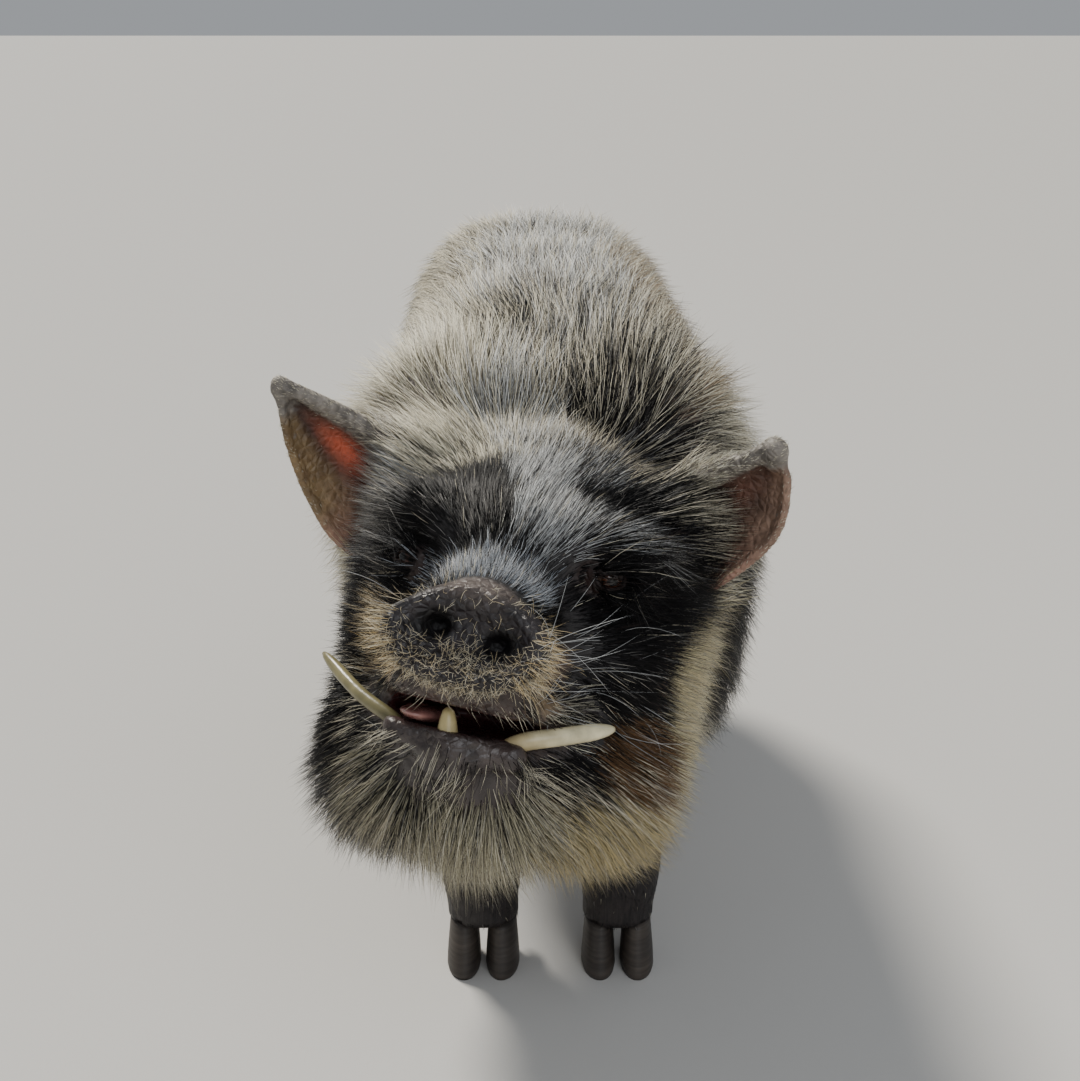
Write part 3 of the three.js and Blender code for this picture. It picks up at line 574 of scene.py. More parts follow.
def sample_grid(distance):
    xs, ys, zs = GRID
    y, z = np.meshgrid(ys, zs, indexing="ij")
    values = np.empty((len(xs), len(ys), len(zs)), np.float32)
    p = np.empty((y.size, 3))
    p[:, 1], p[:, 2] = y.ravel(), z.ravel()
    for i, x in enumerate(xs):
        p[:, 0] = x
        values[i] = distance(p).reshape(y.shape)
    return values


def net_points(values, cells):
    """A point in each cell, in the middle of the places where the skin crosses the cell's edges."""
    total = np.zeros((len(cells), 3))
    hits = np.zeros(len(cells))
    for start in np.array(CUBE_CORNERS):
        for axis in np.flatnonzero(start == 0):
            low = cells + start
            high = low.copy()
            high[:, axis] += 1
            v0, v1 = values[tuple(low.T)], values[tuple(high.T)]
            cut = (v0 < 0) != (v1 < 0)
            share = v0[cut] / (v0[cut] - v1[cut])
            place = np.stack([GRID[k][low[cut, k]] for k in range(3)], axis=1)
            place[:, axis] = mix(place[:, axis], GRID[axis][high[cut, axis]], share)
            total[cut] += place
            hits[cut] += 1
    return total / hits[:, None]


def net_quads(inside, number):
    """A quad round each grid edge that the skin crosses, through the points of the four cells there."""
    quads = []
    for axis in range(3):
        one, two = (axis + 1) % 3, (axis + 2) % 3
        before = np.take(inside, np.arange(inside.shape[axis] - 1), axis=axis)
        after = np.take(inside, np.arange(1, inside.shape[axis]), axis=axis)
        edges = np.argwhere(before != after)
        edges = edges[(edges[:, one] > 0) & (edges[:, two] > 0)]
        edges = edges[(edges[:, one] < number.shape[one]) & (edges[:, two] < number.shape[two])]
        ring = []
        for a, b in ((1, 1), (0, 1), (0, 0), (1, 0)):
            cell = edges.copy()
            cell[:, one] -= a
            cell[:, two] -= b
            ring.append(number[tuple(cell.T)])
        ring = np.stack(ring, axis=1)
        leaves = before[tuple(edges.T)]
        ring[~leaves] = ring[~leaves][:, ::-1]
        quads.append(ring)
    return np.concatenate(quads)


def surface_net(values):
    """The points and the quads of the net, from the distances at the grid's own points."""
    inside = values < 0
    nx, ny, nz = (n - 1 for n in values.shape)
    count = sum(inside[a:nx + a, b:ny + b, c:nz + c].astype(np.int8) for a, b, c in CUBE_CORNERS)
    crossed = (count > 0) & (count < 8)
    cells = np.argwhere(crossed)
    number = np.full(crossed.shape, -1)
    number[crossed] = np.arange(len(cells))
    return net_points(values, cells), net_quads(inside, number)


def settle(points, reach=0.4):
    """Moves points along the slope of the distance, on to the skin."""
    slope = np.stack([
        skin_distance(points + shift) - skin_distance(points - shift) for shift in np.eye(3) * reach
    ], axis=1) / (2 * reach)
    step = skin_distance(points) / np.maximum((slope**2).sum(axis=1), 0.2)
    return points - np.clip(step, -1.5, 1.5)[:, None] * slope


def keep_largest(points, quads):
    """Drops what isn't joined to the largest surface."""
    label = np.arange(len(points))
    while True:
        lowest = label[quads].min(axis=1)
        new = label.copy()
        for k in range(4):
            np.minimum.at(new, quads[:, k], lowest)
        new = new[new]
        if (new == label).all():
            break
        label = new
    main = np.bincount(label).argmax()
    kept = label == main
    number = np.cumsum(kept) - 1
    return points[kept], number[quads[kept[quads[:, 0]]]]


def vertex_normals(points, quads):
    across = points[quads[:, 2]] - points[quads[:, 0]]
    face = np.cross(across, points[quads[:, 3]] - points[quads[:, 1]])
    normals = np.zeros_like(points)
    for k in range(4):
        np.add.at(normals, quads[:, k], face)
    return unit(normals)


# Colours, as they look in even light, apart from the painted shade, painted highlight and painted glow
# marked below
def colour(text):
    value = np.array([int(text[i:i + 2], 16) / 255 for i in (0, 2, 4)])
    return np.where(value <= 0.04045, value / 12.92, ((value + 0.055) / 1.055) ** 2.4)


CREAM = colour("e1dac4")
PALE = colour("dcddda")
ASH = colour("c4c6c6")
SLATE = colour("a2a8b0")
GREY = colour("9a9894")
UMBER = colour("332b27")
BLACK = colour("0e0d0f")
BROWN = colour("6b5138")
TAN = colour("a9987f")
SAND = colour("bfae8c")
GOLD = colour("cbbb8f")
STRAW = colour("dccfa8")
OLIVE = colour("b3ac93")
SKIN_DARK = colour("161314")
SKIN_GREY = colour("463d3b")
SKIN_ROSE = colour("76604f")


# Markings: where each lies, how big it is, the colour of its hair and of the skin under it, and how full it
# is. Those on the body are in the pig's own frame, and those on the head in the head's.
BODY_MARKS = [
    ((10, 300, 610), (76, 420, 70), PALE, SKIN_GREY, 0.75),
    ((120, 60, 590), (44, 170, 60), TAN, SKIN_ROSE, 0.6),
    ((100, 360, 606), (46, 180, 60), TAN, SKIN_ROSE, 0.5),
    ((26, -20, 604), (88, 150, 80), BLACK, SKIN_DARK, 0.5),
    ((50, -96, 566), (66, 52, 56), BLACK, SKIN_DARK, 0.6),
    ((-96, -30, 560), (40, 60, 60), CREAM, SKIN_GREY, 0.9),
    ((151, -64, 362), (60, 84, 96), BLACK, SKIN_DARK, 0.97),
    ((165, 6, 300), (50, 70, 60), BLACK, SKIN_DARK, 0.93),
    ((165, 40, 420), (40, 44, 50), BLACK, SKIN_DARK, 0.75),
    ((-150, 470, 380), (64, 130, 100), BLACK, SKIN_DARK, 0.96),
    ((-150, 350, 460), (60, 80, 70), BLACK, SKIN_DARK, 0.8),
    ((140, 590, 330), (78, 100, 110), BLACK, SKIN_DARK, 0.96),
    ((150, 500, 430), (60, 90, 60), BLACK, SKIN_DARK, 0.8),
    ((160, 420, 300), (50, 60, 44), TAN, SKIN_ROSE, 0.7),
    ((10, 700, 560), (78, 62, 60), BLACK, SKIN_DARK, 0.9),
    ((-60, 760, 440), (70, 60, 90), BLACK, SKIN_DARK, 0.8),
    ((-120, 120, 300), (52, 60, 60), GOLD, SKIN_ROSE, 0.6),
    ((40, 120, 200), (80, 90, 40), GOLD, SKIN_ROSE, 0.5),
]
HEAD_MARKS = [
    ((12, -52, -46), (142, 116, 138), BLACK, SKIN_DARK, 0.985),
    ((-78, 20, 78), (56, 50, 46), CREAM, SKIN_GREY, 0.8),
    ((-62, -26, 62), (46, 36, 34), CREAM, SKIN_DARK, 0.55),
    ((-116, 0, 60), (34, 40, 34), UMBER, SKIN_ROSE, 0.5),
    ((-106, -22, 4), (32, 46, 44), ASH, SKIN_DARK, 0.62),
    ((-136, 24, -30), (32, 62, 36), STRAW, SKIN_ROSE, 0.9),
    ((-40, 30, 96), (38, 40, 34), PALE, SKIN_DARK, 0.6),
    ((-14, -20, 80), (30, 40, 32), PALE, SKIN_DARK, 0.58),
    ((4, -66, 50), (24, 32, 32), ASH, SKIN_DARK, 0.8),
    ((20, -90, 18), (22, 28, 28), ASH, SKIN_DARK, 0.8),
    ((28, -98, 0), (24, 22, 18), ASH, SKIN_DARK, 0.62),
    ((60, -84, 20), (34, 30, 15), ASH, SKIN_DARK, 0.36),
    ((28, -46, 66), (32, 34, 24), ASH, SKIN_DARK, 0.34),
    ((54, 46, 106), (60, 56, 46), BLACK, SKIN_DARK, 0.7),
    ((56, 20, 96), (44, 44, 36), GREY, SKIN_DARK, 0.25),
    ((-46, -84, 8), (41, 44, 38), BLACK, SKIN_DARK, 0.995),
    ((-84, -70, -4), (22, 28, 30), GREY, SKIN_DARK, 0.35),
    ((8, -128, -30), (54, 36, 18), SLATE, SKIN_DARK, 0.8),
    ((-48, -106, -36), (34, 26, 16), SLATE, SKIN_DARK, 0.6),
    ((-88, -74, -86), (26, 40, 30), SAND, SKIN_ROSE, 0.62),
    ((56, -108, -84), (13, 24, 26), SAND, SKIN_ROSE, 0.5),
    ((62, -92, -112), (26, 30, 20), CREAM, SKIN_GREY, 0.4),
    ((-112, -44, -80), (34, 40, 34), UMBER, SKIN_DARK, 0.4),
    ((108, -66, -126), (36, 36, 30), BROWN, SKIN_DARK, 0.72),
    ((-20, -62, -196), (116, 92, 70), BLACK, SKIN_DARK, 0.84),
    ((-56, -88, -186), (50, 46, 36), OLIVE, SKIN_DARK, 0.45),
    ((26, -104, -192), (52, 52, 40), OLIVE, SKIN_GREY, 0.78),
    ((104, -52, -186), (58, 60, 34), GOLD, SKIN_ROSE, 0.93),
    ((62, -20, -226), (84, 64, 34), GOLD, SKIN_ROSE, 0.95),
    ((-66, -30, -236), (64, 68, 40), BLACK, SKIN_DARK, 0.975),
    ((-112, -40, -172), (46, 64, 66), BLACK, SKIN_DARK, 0.96),
    ((-122, -34, -112), (36, 52, 60), BLACK, SKIN_DARK, 0.92),
    ((136, -4, -70), (25, 54, 96), STRAW, SKIN_ROSE, 0.94),
    ((146, 4, -150), (30, 60, 50), STRAW, SKIN_ROSE, 0.92),
]


def cover(p, centre, radii, seed, grain, wobble):
    """How fully a marking with ragged, hairy edges covers points."""
    gap = np.linalg.norm((p - centre) / radii, axis=1)
    near = gap < 1.9
    q = p[near]
    ragged = wobble * (noise(q, 1.6 * grain, seed) + 0.7 * noise(q, 0.6 * grain, seed + 5))
    ragged += 0.1 * noise(q, 0.2 * grain, seed)
    full = np.zeros(len(p))
    full[near] = smoothstep(1.22, 0.8, gap[near] + ragged)
    return full


def markings(p, part, draw=None):
    """Hair and skin colours at points. With a draw per point, each hair takes one side of a mixed place."""
    local = to_head(p)
    hair = mix(CREAM, TAN, 0.3 * clouds(p, 60, 3))
    skin = mix(SKIN_GREY, SKIN_ROSE, 0.5 * clouds(p, 45, 8))

    def paint(weight, hair_tone, skin_tone):
        nonlocal hair, skin
        skin = mix(skin, skin_tone, weight[:, None])
        chosen = weight if draw is None else (weight > draw).astype(float)
        hair = mix(hair, hair_tone, chosen[:, None])

    behind_head = smoothstep(20, 60, local[:, 1])
    for seed, (centre, radii, hair_tone, skin_tone, strength) in enumerate(BODY_MARKS):
        paint(strength * behind_head * cover(p, centre, radii, seed, 42, 0.3), hair_tone, skin_tone)
    low = smoothstep(250, 170, p[:, 2] + 20 * noise(p, 30, 4))
    paint(np.where(lies_on(part, *LEGS), 0.93 * low, 0), BLACK, SKIN_DARK)
    near_head = p[:, 1] < 0
    for seed, (centre, radii, hair_tone, skin_tone, strength) in enumerate(HEAD_MARKS):
        weight = strength * cover(local, centre, radii, seed + 30, 22, 0.12)
        paint(np.where(near_head, weight, 0), hair_tone, skin_tone)
    return hair, skin


# Objects
def put_in_scene(thing):
    bpy.context.scene.collection.objects.link(thing)


def add_layer(mesh, name, values):
    """Stores a number or a direction for each point of a mesh, for its material to read."""
    if values.ndim == 1:
        layer = mesh.attributes.new(name, "FLOAT", "POINT")
        layer.data.foreach_set("value", values.astype(np.float32))
    else:
        layer = mesh.attributes.new(name, "FLOAT_VECTOR", "POINT")
        layer.data.foreach_set("vector", values.astype(np.float32).ravel())


def add_object(name, points, faces, material, tones):
    """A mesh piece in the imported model's frame, from points in millimetres and a colour for each."""
    mesh = bpy.data.meshes.new(name)
    faces = np.asarray(faces)
    sides = faces.shape[1]
    placed = np.asarray(points) * MM + SHIFT
    mesh.vertices.add(len(placed))
    mesh.vertices.foreach_set("co", placed.astype(np.float32).ravel())
    mesh.loops.add(faces.size)
    mesh.loops.foreach_set("vertex_index", faces.astype(np.int32).ravel())
    mesh.polygons.add(len(faces))
    mesh.polygons.foreach_set("loop_start", np.arange(0, faces.size, sides, dtype=np.int32))
    mesh.update(calc_edges=True)
    mesh.shade_smooth()
    layer = mesh.color_attributes.new("Tone", "FLOAT_COLOR", "POINT")
    rgba = np.ones((len(placed), 4), np.float32)
    rgba[:, :3] = tones
    layer.data.foreach_set("color", rgba.ravel())
    mesh.materials.append(material)
    piece = bpy.data.objects.new(name, mesh)
    put_in_scene(piece)
    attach(piece, "root")
    return piece


def replace_node(name, points, faces, material, tones):
    """A piece that stands for the solid of the same name."""
    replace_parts(add_object(name, points, faces, material, tones), name)


class Shader:
    """A small node material: a Principled shader with helpers for the few nodes that the finishes share."""

    def __init__(self, name, **settings):
        self.material = bpy.data.materials.new(name)
        self.material.use_nodes = True
        self.tree = self.material.node_tree
        self.surface = self.tree.nodes["Principled BSDF"]
        for socket, value in settings.items():
            self.surface.inputs[socket.replace("_", " ")].default_value = value

    def feed(self, socket, value):
        """Links a node's output to a socket, or sets a plain value on it."""
        if isinstance(value, bpy.types.NodeSocket):
            self.tree.links.new(value, socket)
        else:
            socket.default_value = value

    def node(self, kind, **inputs):
        made = self.tree.nodes.new(kind)
        for name, value in inputs.items():
            self.feed(made.inputs[name.replace("_", " ")], value)
        return made

    def layer(self, name, output="Fac"):
        attribute = self.tree.nodes.new("ShaderNodeAttribute")
        attribute.attribute_name = name
        return attribute.outputs[output]

    def tone(self):
        return self.layer("Tone", "Color")

    def math(self, kind, a, b):
        made = self.tree.nodes.new("ShaderNodeMath")
        made.operation = kind
        self.feed(made.inputs[0], a)
        self.feed(made.inputs[1], b)
        return made.outputs[0]

    def place(self):
        return self.tree.nodes.new("ShaderNodeTexCoord").outputs["Object"]

    def grain(self, scale, detail=4.0, stretch=None, where=None):
        where = where or self.place()
        if stretch:
            where = self.node("ShaderNodeMapping", Vector=where, Scale=stretch).outputs[0]
        return self.node("ShaderNodeTexNoise", Vector=where, Scale=scale, Detail=detail).outputs[0]

    def cracks(self, scale):
        cells = self.node("ShaderNodeTexVoronoi", Vector=self.place(), Scale=scale)
        cells.feature = "DISTANCE_TO_EDGE"
        return cells.outputs["Distance"]

    def span(self, grain, low, high):
        """Takes a grain, which seldom leaves 0.3 to 0.7, to the range from low to high."""
        spread = {"From_Min": 0.3, "From_Max": 0.7, "To_Min": low, "To_Max": high}
        return self.node("ShaderNodeMapRange", Value=grain, **spread).outputs[0]

    def shade(self, base, grain, dark, light):
        """base times a grey between dark and light."""
        grey = self.span(grain, dark, light)
        made = self.node("ShaderNodeVectorMath", Vector=base)
        made.operation = "SCALE"
        self.tree.links.new(grey, made.inputs["Scale"])
        return made.outputs[0]

    def bump(self, height, distance, strength, normal=None):
        made = self.node("ShaderNodeBump", Height=height, Distance=distance, Strength=strength)
        if normal:
            self.tree.links.new(normal, made.inputs["Normal"])
        return made.outputs[0]

    def link(self, value, socket):
        self.tree.links.new(value, self.surface.inputs[socket])


def skin_material():
    """Hide with pores and wrinkles, streaked along the lie of the short hair that grows on it."""
    look = Shader("pig_skin", Specular_IOR_Level=0.45)
    furred, rough, wet = look.layer("Furred"), look.layer("Rough"), look.layer("Wet")
    streaks = look.grain(560, 3, where=look.layer("Comb", "Vector"))
    mottled = look.shade(look.tone(), look.grain(46), 0.78, 1.24)
    dark = look.math("SUBTRACT", 1.0, look.math("MULTIPLY", furred, 0.5))
    light = look.math("ADD", 1.0, look.math("MULTIPLY", furred, 0.8))
    look.link(look.shade(mottled, streaks, dark, light), "Base Color")
    dry = look.span(look.grain(120), 0.46, 0.7)
    look.link(look.math("SUBTRACT", dry, look.math("MULTIPLY", wet, 0.28)), "Roughness")
    depth = look.math("ADD", look.math("MULTIPLY", rough, 3.2), 0.3)
    folds = look.math("MULTIPLY", look.cracks(150), depth)
    pores = look.bump(look.grain(430, 6), 0.0006, 0.8)
    wrinkles = look.bump(folds, 0.0012, 0.8, pores)
    look.link(look.bump(look.math("MULTIPLY", streaks, furred), 0.0012, 0.8, wrinkles), "Normal")
    return look.material


def hair_material():
    look = Shader("pig_bristles", Roughness=0.42, Specular_IOR_Level=0.22)
    look.link(look.shade(look.tone(), look.grain(170, 3), 0.8, 1.18), "Base Color")
    return look.material


def horn_material():
    look = Shader("hoof_horn", Roughness=0.5, Specular_IOR_Level=0.4)
    lines = look.grain(60, 5, stretch=(0.35, 0.35, 5.0))
    look.link(look.shade(look.tone(), lines, 0.62, 1.3), "Base Color")
    look.link(look.bump(lines, 0.0007, 0.8), "Normal")
    return look.material


def ivory_material():
    look = Shader("tusk_ivory", Roughness=0.3, Specular_IOR_Level=0.5)
    look.link(look.shade(look.tone(), look.grain(90, 5), 0.74, 1.14), "Base Color")
    look.link(look.bump(look.grain(260, 4), 0.0004, 0.6), "Normal")
    return look.material


def tongue_material():
    look = Shader("tongue_wet", Roughness=0.2, Specular_IOR_Level=0.6, Coat_Weight=0.5, Coat_Roughness=0.12)
    look.link(look.shade(look.tone(), look.grain(160, 5), 0.8, 1.2), "Base Color")
    look.link(look.bump(look.cracks(600), 0.0006, 0.7), "Normal")
    return look.material


def eye_material():
    look = Shader("eye", Roughness=0.1, Specular_IOR_Level=0.5, Coat_Weight=0.5, Coat_Roughness=0.04)
    look.link(look.tone(), "Base Color")
    return look.material


skin_look = skin_material()
hair_look = hair_material()

FLESH = ["torso", "neck", "head", "snout", "ear_left", "ear_right", "tail"] + [
    f"{end}_{length}_leg_{side}" for end in ("front", "hind") for length in ("upper", "lower")
    for side in ("left", "right")]


def paint_over(tones, weight, tone):
    return mix(tones, tone, np.clip(weight, 0, 1)[:, None])


def speckle(p, size, seed, dark, light):
    return mix(colour(dark), colour(light), clouds(p, size, seed))


EAR_INSIDES = {  # middle, towards the outer edge, and the painted glow of light shining through the cup, with its strength
    "ear_left": (("3c2c25", "5b4236"), ("735b4d", "947866"), "613f33", 0.7),
    "ear_right": (("33251f", "523b2e"), ("665037", "86704f"), "b8553a", 0.95),
}


def ear_tones(name, local):
    """The ear's cup is darker at its root, which is painted shade, has a painted glow of light shining
    through it in its middle, and is tan on its outer edge. Its rim is grey.
    """
    ear = ears[name]
    i = ear.nearest(local)
    along, across = ear.along[i], ear.across[i]
    facing = ear.faces_forward(local, i)
    middle, outer, glow, strength = EAR_INSIDES[name]
    inside = speckle(local, 9, 2, *middle)
    inside = paint_over(inside, smoothstep(0.5, 0.85, across), speckle(local, 5, 3, *outer))
    rosy = smoothstep(0.5, 0.2, along) * smoothstep(0.4, 0.7, across)
    inside = paint_over(inside, rosy, speckle(local, 8, 6, "7c594c", "a37d6b"))
    # A painted glow of light shining through the cup, warm orange, stronger on the right ear
    painted_glow = np.exp(-((across - 0.33) / 0.15) ** 2 - ((along - 0.52) / 0.17) ** 2)
    inside = paint_over(inside, strength * painted_glow, colour(glow))
    # Painted shade deep in the cup, at the ear's root
    inside = paint_over(inside, smoothstep(0.34, 0.1, along) * (1 - rosy), colour("261c19"))
    tones = paint_over(speckle(local, 8, 4, "6f655c", "988b7e"), facing.astype(float), inside)
    rim = np.maximum(smoothstep(0.17, 0.09, across), smoothstep(0.84, 0.92, along))
    return paint_over(tones, rim, speckle(local, 3, 5, "514c47", "938c83"))


class Hide:
    """The bare skin as it is painted, one place of the head after another: its colours, and how furred,
    how rough and how wet it is."""

    def __init__(self, p, part):
        self.local = to_head(p)
        self.on_head = lies_on(part, "head").astype(float)
        self.on_disc = smoothstep(17, 6, self.local[:, 1] - SNOUT_Y)
        self.tones = markings(p, part)[1]
        self.furred = np.where(lies_on(part, "trunk"), 0.75, 1.0)
        self.rough = np.zeros(len(p))
        self.wet = np.zeros(len(p))

    def tint(self, weight, tone):
        self.tones = paint_over(self.tones, weight * self.on_head, tone)

    def wear(self, weight, bare=0, rough=0, wet=0):
        """Takes fur off a place, and makes it rough or wet."""
        weight = weight * self.on_head
        self.furred = self.furred * (1 - bare * weight)
        self.rough = np.maximum(self.rough, rough * weight)
        self.wet = np.maximum(self.wet, wet * weight)

    def add_snout(self):
        across, _, up = (self.local - SNOUT).T
        self.tint(self.on_disc, speckle(self.local, 7, 1, "1a1719", "302b2d"))
        # The top of the disc is painted lighter: a painted highlight along its upper rim
        self.tint(0.7 * smoothstep(14, 30, up - 0.2 * np.abs(across)) * self.on_disc, colour("5d524c"))
        muzzle = smoothstep(96, 70, np.linalg.norm(self.local - SNOUT, axis=1))
        self.wear(muzzle, bare=0.8, rough=0.8)
        self.wear(self.on_disc, wet=0.7)

    def add_mouth(self):
        gap = mouth_slit(self.local)
        lips = smoothstep(16, 4, gap)
        self.tint(0.8 * lips, speckle(self.local, 5, 6, "2f2726", "5c4c45"))
        self.tint(smoothstep(2.5, 0, np.abs(gap)), colour("4a2526"))
        self.wear(lips, bare=1, wet=1)

    def add_jaw(self):
        hard, chin = callus(self.local), bare_chin(self.local)
        self.tint(hard, speckle(self.local, 6, 7, "1f1c1c", "3f3a37"))
        self.wear(hard, rough=1)
        self.tint(0.85 * chin, speckle(self.local, 7, 8, "1f1b1c", "4a4240"))
        self.wear(chin, bare=1, wet=1)
        jowl = around_place(self.local, (-50, -34, -236), (50, 46, 30))
        self.tint(jowl, colour("151314"))
        self.wear(jowl, wet=0.9)
        for place, radii in (((-64, -104, -78), (24, 40, 36)), ((58, -118, -84), (14, 24, 26))):
            beside_snout = around_place(self.local, place, radii) * (1 - self.on_disc)
            self.tint(0.8 * beside_snout, speckle(self.local, 6, 9, "6d5a45", "a08a68"))

    def add_nostril(self, side):
        inside = smoothstep(4, 0.5, nostril(self.local, side))
        # The nostril's hollow is painted near-black: painted shade deep inside it
        self.tint(inside, colour("0b0809"))
        self.wet = self.wet * (1 - inside * self.on_head)

    def add_eye_hollow(self, side):
        q = to_eye(self.local, side)
        hollow = smoothstep(34, 12, np.hypot(q[:, 0], 1.5 * q[:, 1]))
        # The hollow round the eye is painted dark reddish-brown: partly the skin's own colour, partly
        # painted shade under the brow hair
        self.tint(0.85 * hollow, colour("2b1a16"))
        self.tint(smoothstep(1.5, 0, np.abs(LIDS(q))), colour("1e1310"))
        self.wear(hollow, bare=1, rough=0.8)


def paint_hide(p, part):
    """Each place is painted over the ones before it."""
    hide = Hide(p, part)
    hide.add_snout()
    hide.add_mouth()
    hide.add_jaw()
    for side in (1, -1):
        hide.add_nostril(side)
        hide.add_eye_hollow(side)
    for name in ears:
        mine = lies_on(part, name)
        hide.tones[mine] = ear_tones(name, hide.local[mine])
        hide.furred[mine] = 0.25
        hide.rough[mine] = 0.75
    hide.furred[lies_on(part, "tail")] = 0.3
    return hide


def comb(p, part):
    """Coordinates that hardly change along the lie of the hair, so that grain on them streaks along it."""
    local = to_head(p)
    spread = local - (SNOUT_X, SNOUT_Y + 20, SNOUT_Z)
    reach = np.linalg.norm(spread, axis=1, keepdims=True)
    head = spread / np.maximum(reach, 1) * (100 + 0.08 * reach)
    body = p * (1, 0.07, 1)
    legs = p * (1, 1, 0.08)
    on_head = lies_on(part, "head", *ears)[:, None]
    on_legs = lies_on(part, *LEGS, "tail")[:, None]
    return np.where(on_head, head, np.where(on_legs, legs, body)) * MM


points, quads = surface_net(sample_grid(skin_distance))
points, quads = keep_largest(settle(points), quads)
normals = vertex_normals(points, quads)
distances = part_distances(points)
part = np.argmin(np.stack([distances[name] for name in PARTS]), axis=0)
hide = paint_hide(points, part)
skin = add_object("pig_skin", points, quads, skin_look, hide.tones)
add_layer(skin.data, "Furred", hide.furred)
add_layer(skin.data, "Rough", hide.rough)
add_layer(skin.data, "Wet", hide.wet)
add_layer(skin.data, "Comb", comb(points, part))
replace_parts(skin, *FLESH)


# Unwrap of the skin: each part has its own place on the map, and its own way round
HEAD_MIDDLE = np.array([0.0, -20.0, -60.0])
CHARTS = {
    "trunk": (0.01, 0.01, 0.58, 0.98), "head": (0.61, 0.61, 0.38, 0.38),
    "ear_left": (0.61, 0.45, 0.18, 0.14), "ear_right": (0.81, 0.45, 0.18, 0.14),
    "leg_front_left": (0.61, 0.23, 0.18, 0.2), "leg_front_right": (0.81, 0.23, 0.18, 0.2),
    "leg_hind_left": (0.61, 0.01, 0.13, 0.2), "leg_hind_right": (0.76, 0.01, 0.13, 0.2),
    "tail": (0.91, 0.01, 0.08, 0.2),
}


def turn_of(x, y):
    return np.arctan2(x, y) / (2 * np.pi) + 0.5


def place_on_chart(name, p, local):
    """How far across and how far up its part's own chart each point lies, from 0 to 1."""
    if name == "trunk":
        return turn_of(p[:, 0], trunk_middle - p[:, 2]), (p[:, 1] + 250) / 1080
    if name == "head":
        d = unit(local - HEAD_MIDDLE)
        lean = np.arccos(np.clip(-d[:, 1], -1, 1)) / (2 * np.pi)
        turn = np.arctan2(d[:, 0], d[:, 2])
        return 0.5 + lean * np.sin(turn), 0.5 + lean * np.cos(turn)
    if name in ears:
        ear = ears[name]
        i = ear.nearest(local)
        front = ((local - ear.samples[i]) * ear.normals[i]).sum(axis=1) > 0
        return (ear.across[i] + front) / 2, ear.along[i]
    if name in LEGS:
        foot = LEGS[name][-1][0]
        return turn_of(p[:, 0] - foot[0], p[:, 1] - foot[1]), (p[:, 2] - 40) / 330
    return turn_of(p[:, 0] - RUMP_X, p[:, 1] - TAIL_BASE[0]), (p[:, 2] - 290) / 300


def unwrap(p, part):
    """Each point's place on the whole map."""
    place = np.zeros((len(p), 2))
    local = to_head(p)
    for name, (left, low, width, height) in CHARTS.items():
        mine = lies_on(part, name)
        across, up = place_on_chart(name, p[mine], local[mine])
        place[mine, 0] = left + width * np.clip(across, 0, 1)
        place[mine, 1] = low + height * np.clip(up, 0, 1)
    return place


# Coat
def scatter(weight, count):
    """Random places on the skin, most where the weight is largest: their points, normals and parts."""
    corners = points[quads]
    across = np.cross(corners[:, 2] - corners[:, 0], corners[:, 3] - corners[:, 1])
    share = np.linalg.norm(across, axis=1) / 2 * weight[quads].mean(axis=1)
    face = rng.choice(len(quads), count, p=share / share.sum())
    a, b = rng.random(count)[:, None], rng.random(count)[:, None]
    corners, lean = points[quads[face]], normals[quads[face]]
    place = mix(mix(corners[:, 0], corners[:, 1], a), mix(corners[:, 3], corners[:, 2], a), b)
    normal = unit(mix(mix(lean[:, 0], lean[:, 1], a), mix(lean[:, 3], lean[:, 2], a), b))
    return place, normal, part[quads[face, 0]]


def head_lie(local):
    """On the head the hair lies away from the snout, and below the mouth away from the mouth. Over the
    temples it sweeps out across the roots of the ears."""
    x, z = local[:, 0], local[:, 2]
    from_snout = unit(local - (SNOUT_X, SNOUT_Y - 10, SNOUT_Z))
    from_mouth = unit(local - (MOUTH[0], -112, -118))
    below = smoothstep(-100, -140, z)
    lie = mix(from_snout, from_mouth, below[:, None])
    lie[:, 0] += 1.1 * smoothstep(34, 90, np.abs(x)) * smoothstep(-70, -10, z) * np.sign(x)
    lie[:, 2] -= 0.25 * below
    return lie


def lie_of(p, normal, part):
    """The way the hair points at each place, along the skin."""
    lie = np.stack([0.25 * normal[:, 0], np.ones(len(p)), -0.75 * np.abs(normal[:, 0]) - 0.1], axis=1)
    near_head = smoothstep(-40, -150, p[:, 1]) * lies_on(part, "trunk")
    toward = head_lie(to_head(p)) @ HEAD_TURN.T
    lie = mix(lie, toward, 0.35 * near_head[:, None])
    on_head = lies_on(part, "head")
    lie[on_head] = toward[on_head]
    for name, ear in ears.items():
        lie[lies_on(part, name)] = ear.length @ HEAD_TURN.T
    lie[lies_on(part, *LEGS)] = (0, 0.3, -1)
    lie[lies_on(part, "tail")] = (0, 0.25, -1)
    swirl = np.stack([noise(p, 38, 11), noise(p, 38, 12), noise(p, 38, 13)], axis=1)
    swirl = np.where(on_head, 0.28, 0.42)[:, None] * swirl
    loose = np.where(on_head, 0.12, 0.18)[:, None] * rng.normal(size=p.shape)
    return square_to(unit(lie) + swirl + loose, normal)


def gather(roots, tips, spacing, pull):
    """Draws the tips of neighbouring hairs together into locks."""
    leaders = rng.choice(len(roots), max(1, len(roots) // spacing), replace=False)
    tree = kdtree.KDTree(len(leaders))
    for slot, leader in enumerate(leaders):
        tree.insert(roots[leader], slot)
    tree.balance()
    mine = leaders[np.array([tree.find(place)[1] for place in roots])]
    return mix(tips, tips[mine] + 0.45 * (roots - roots[mine]), pull)


def lay_down(tips):
    """Lays the hairs that would stand far out at the sides closer to the body."""
    x = tips[:, 0] + SHIFT[0] / MM
    past = np.maximum(np.abs(x) - COAT_REACH, 0)
    tips[:, 0] -= 0.7 * past * np.sign(x)
    return tips


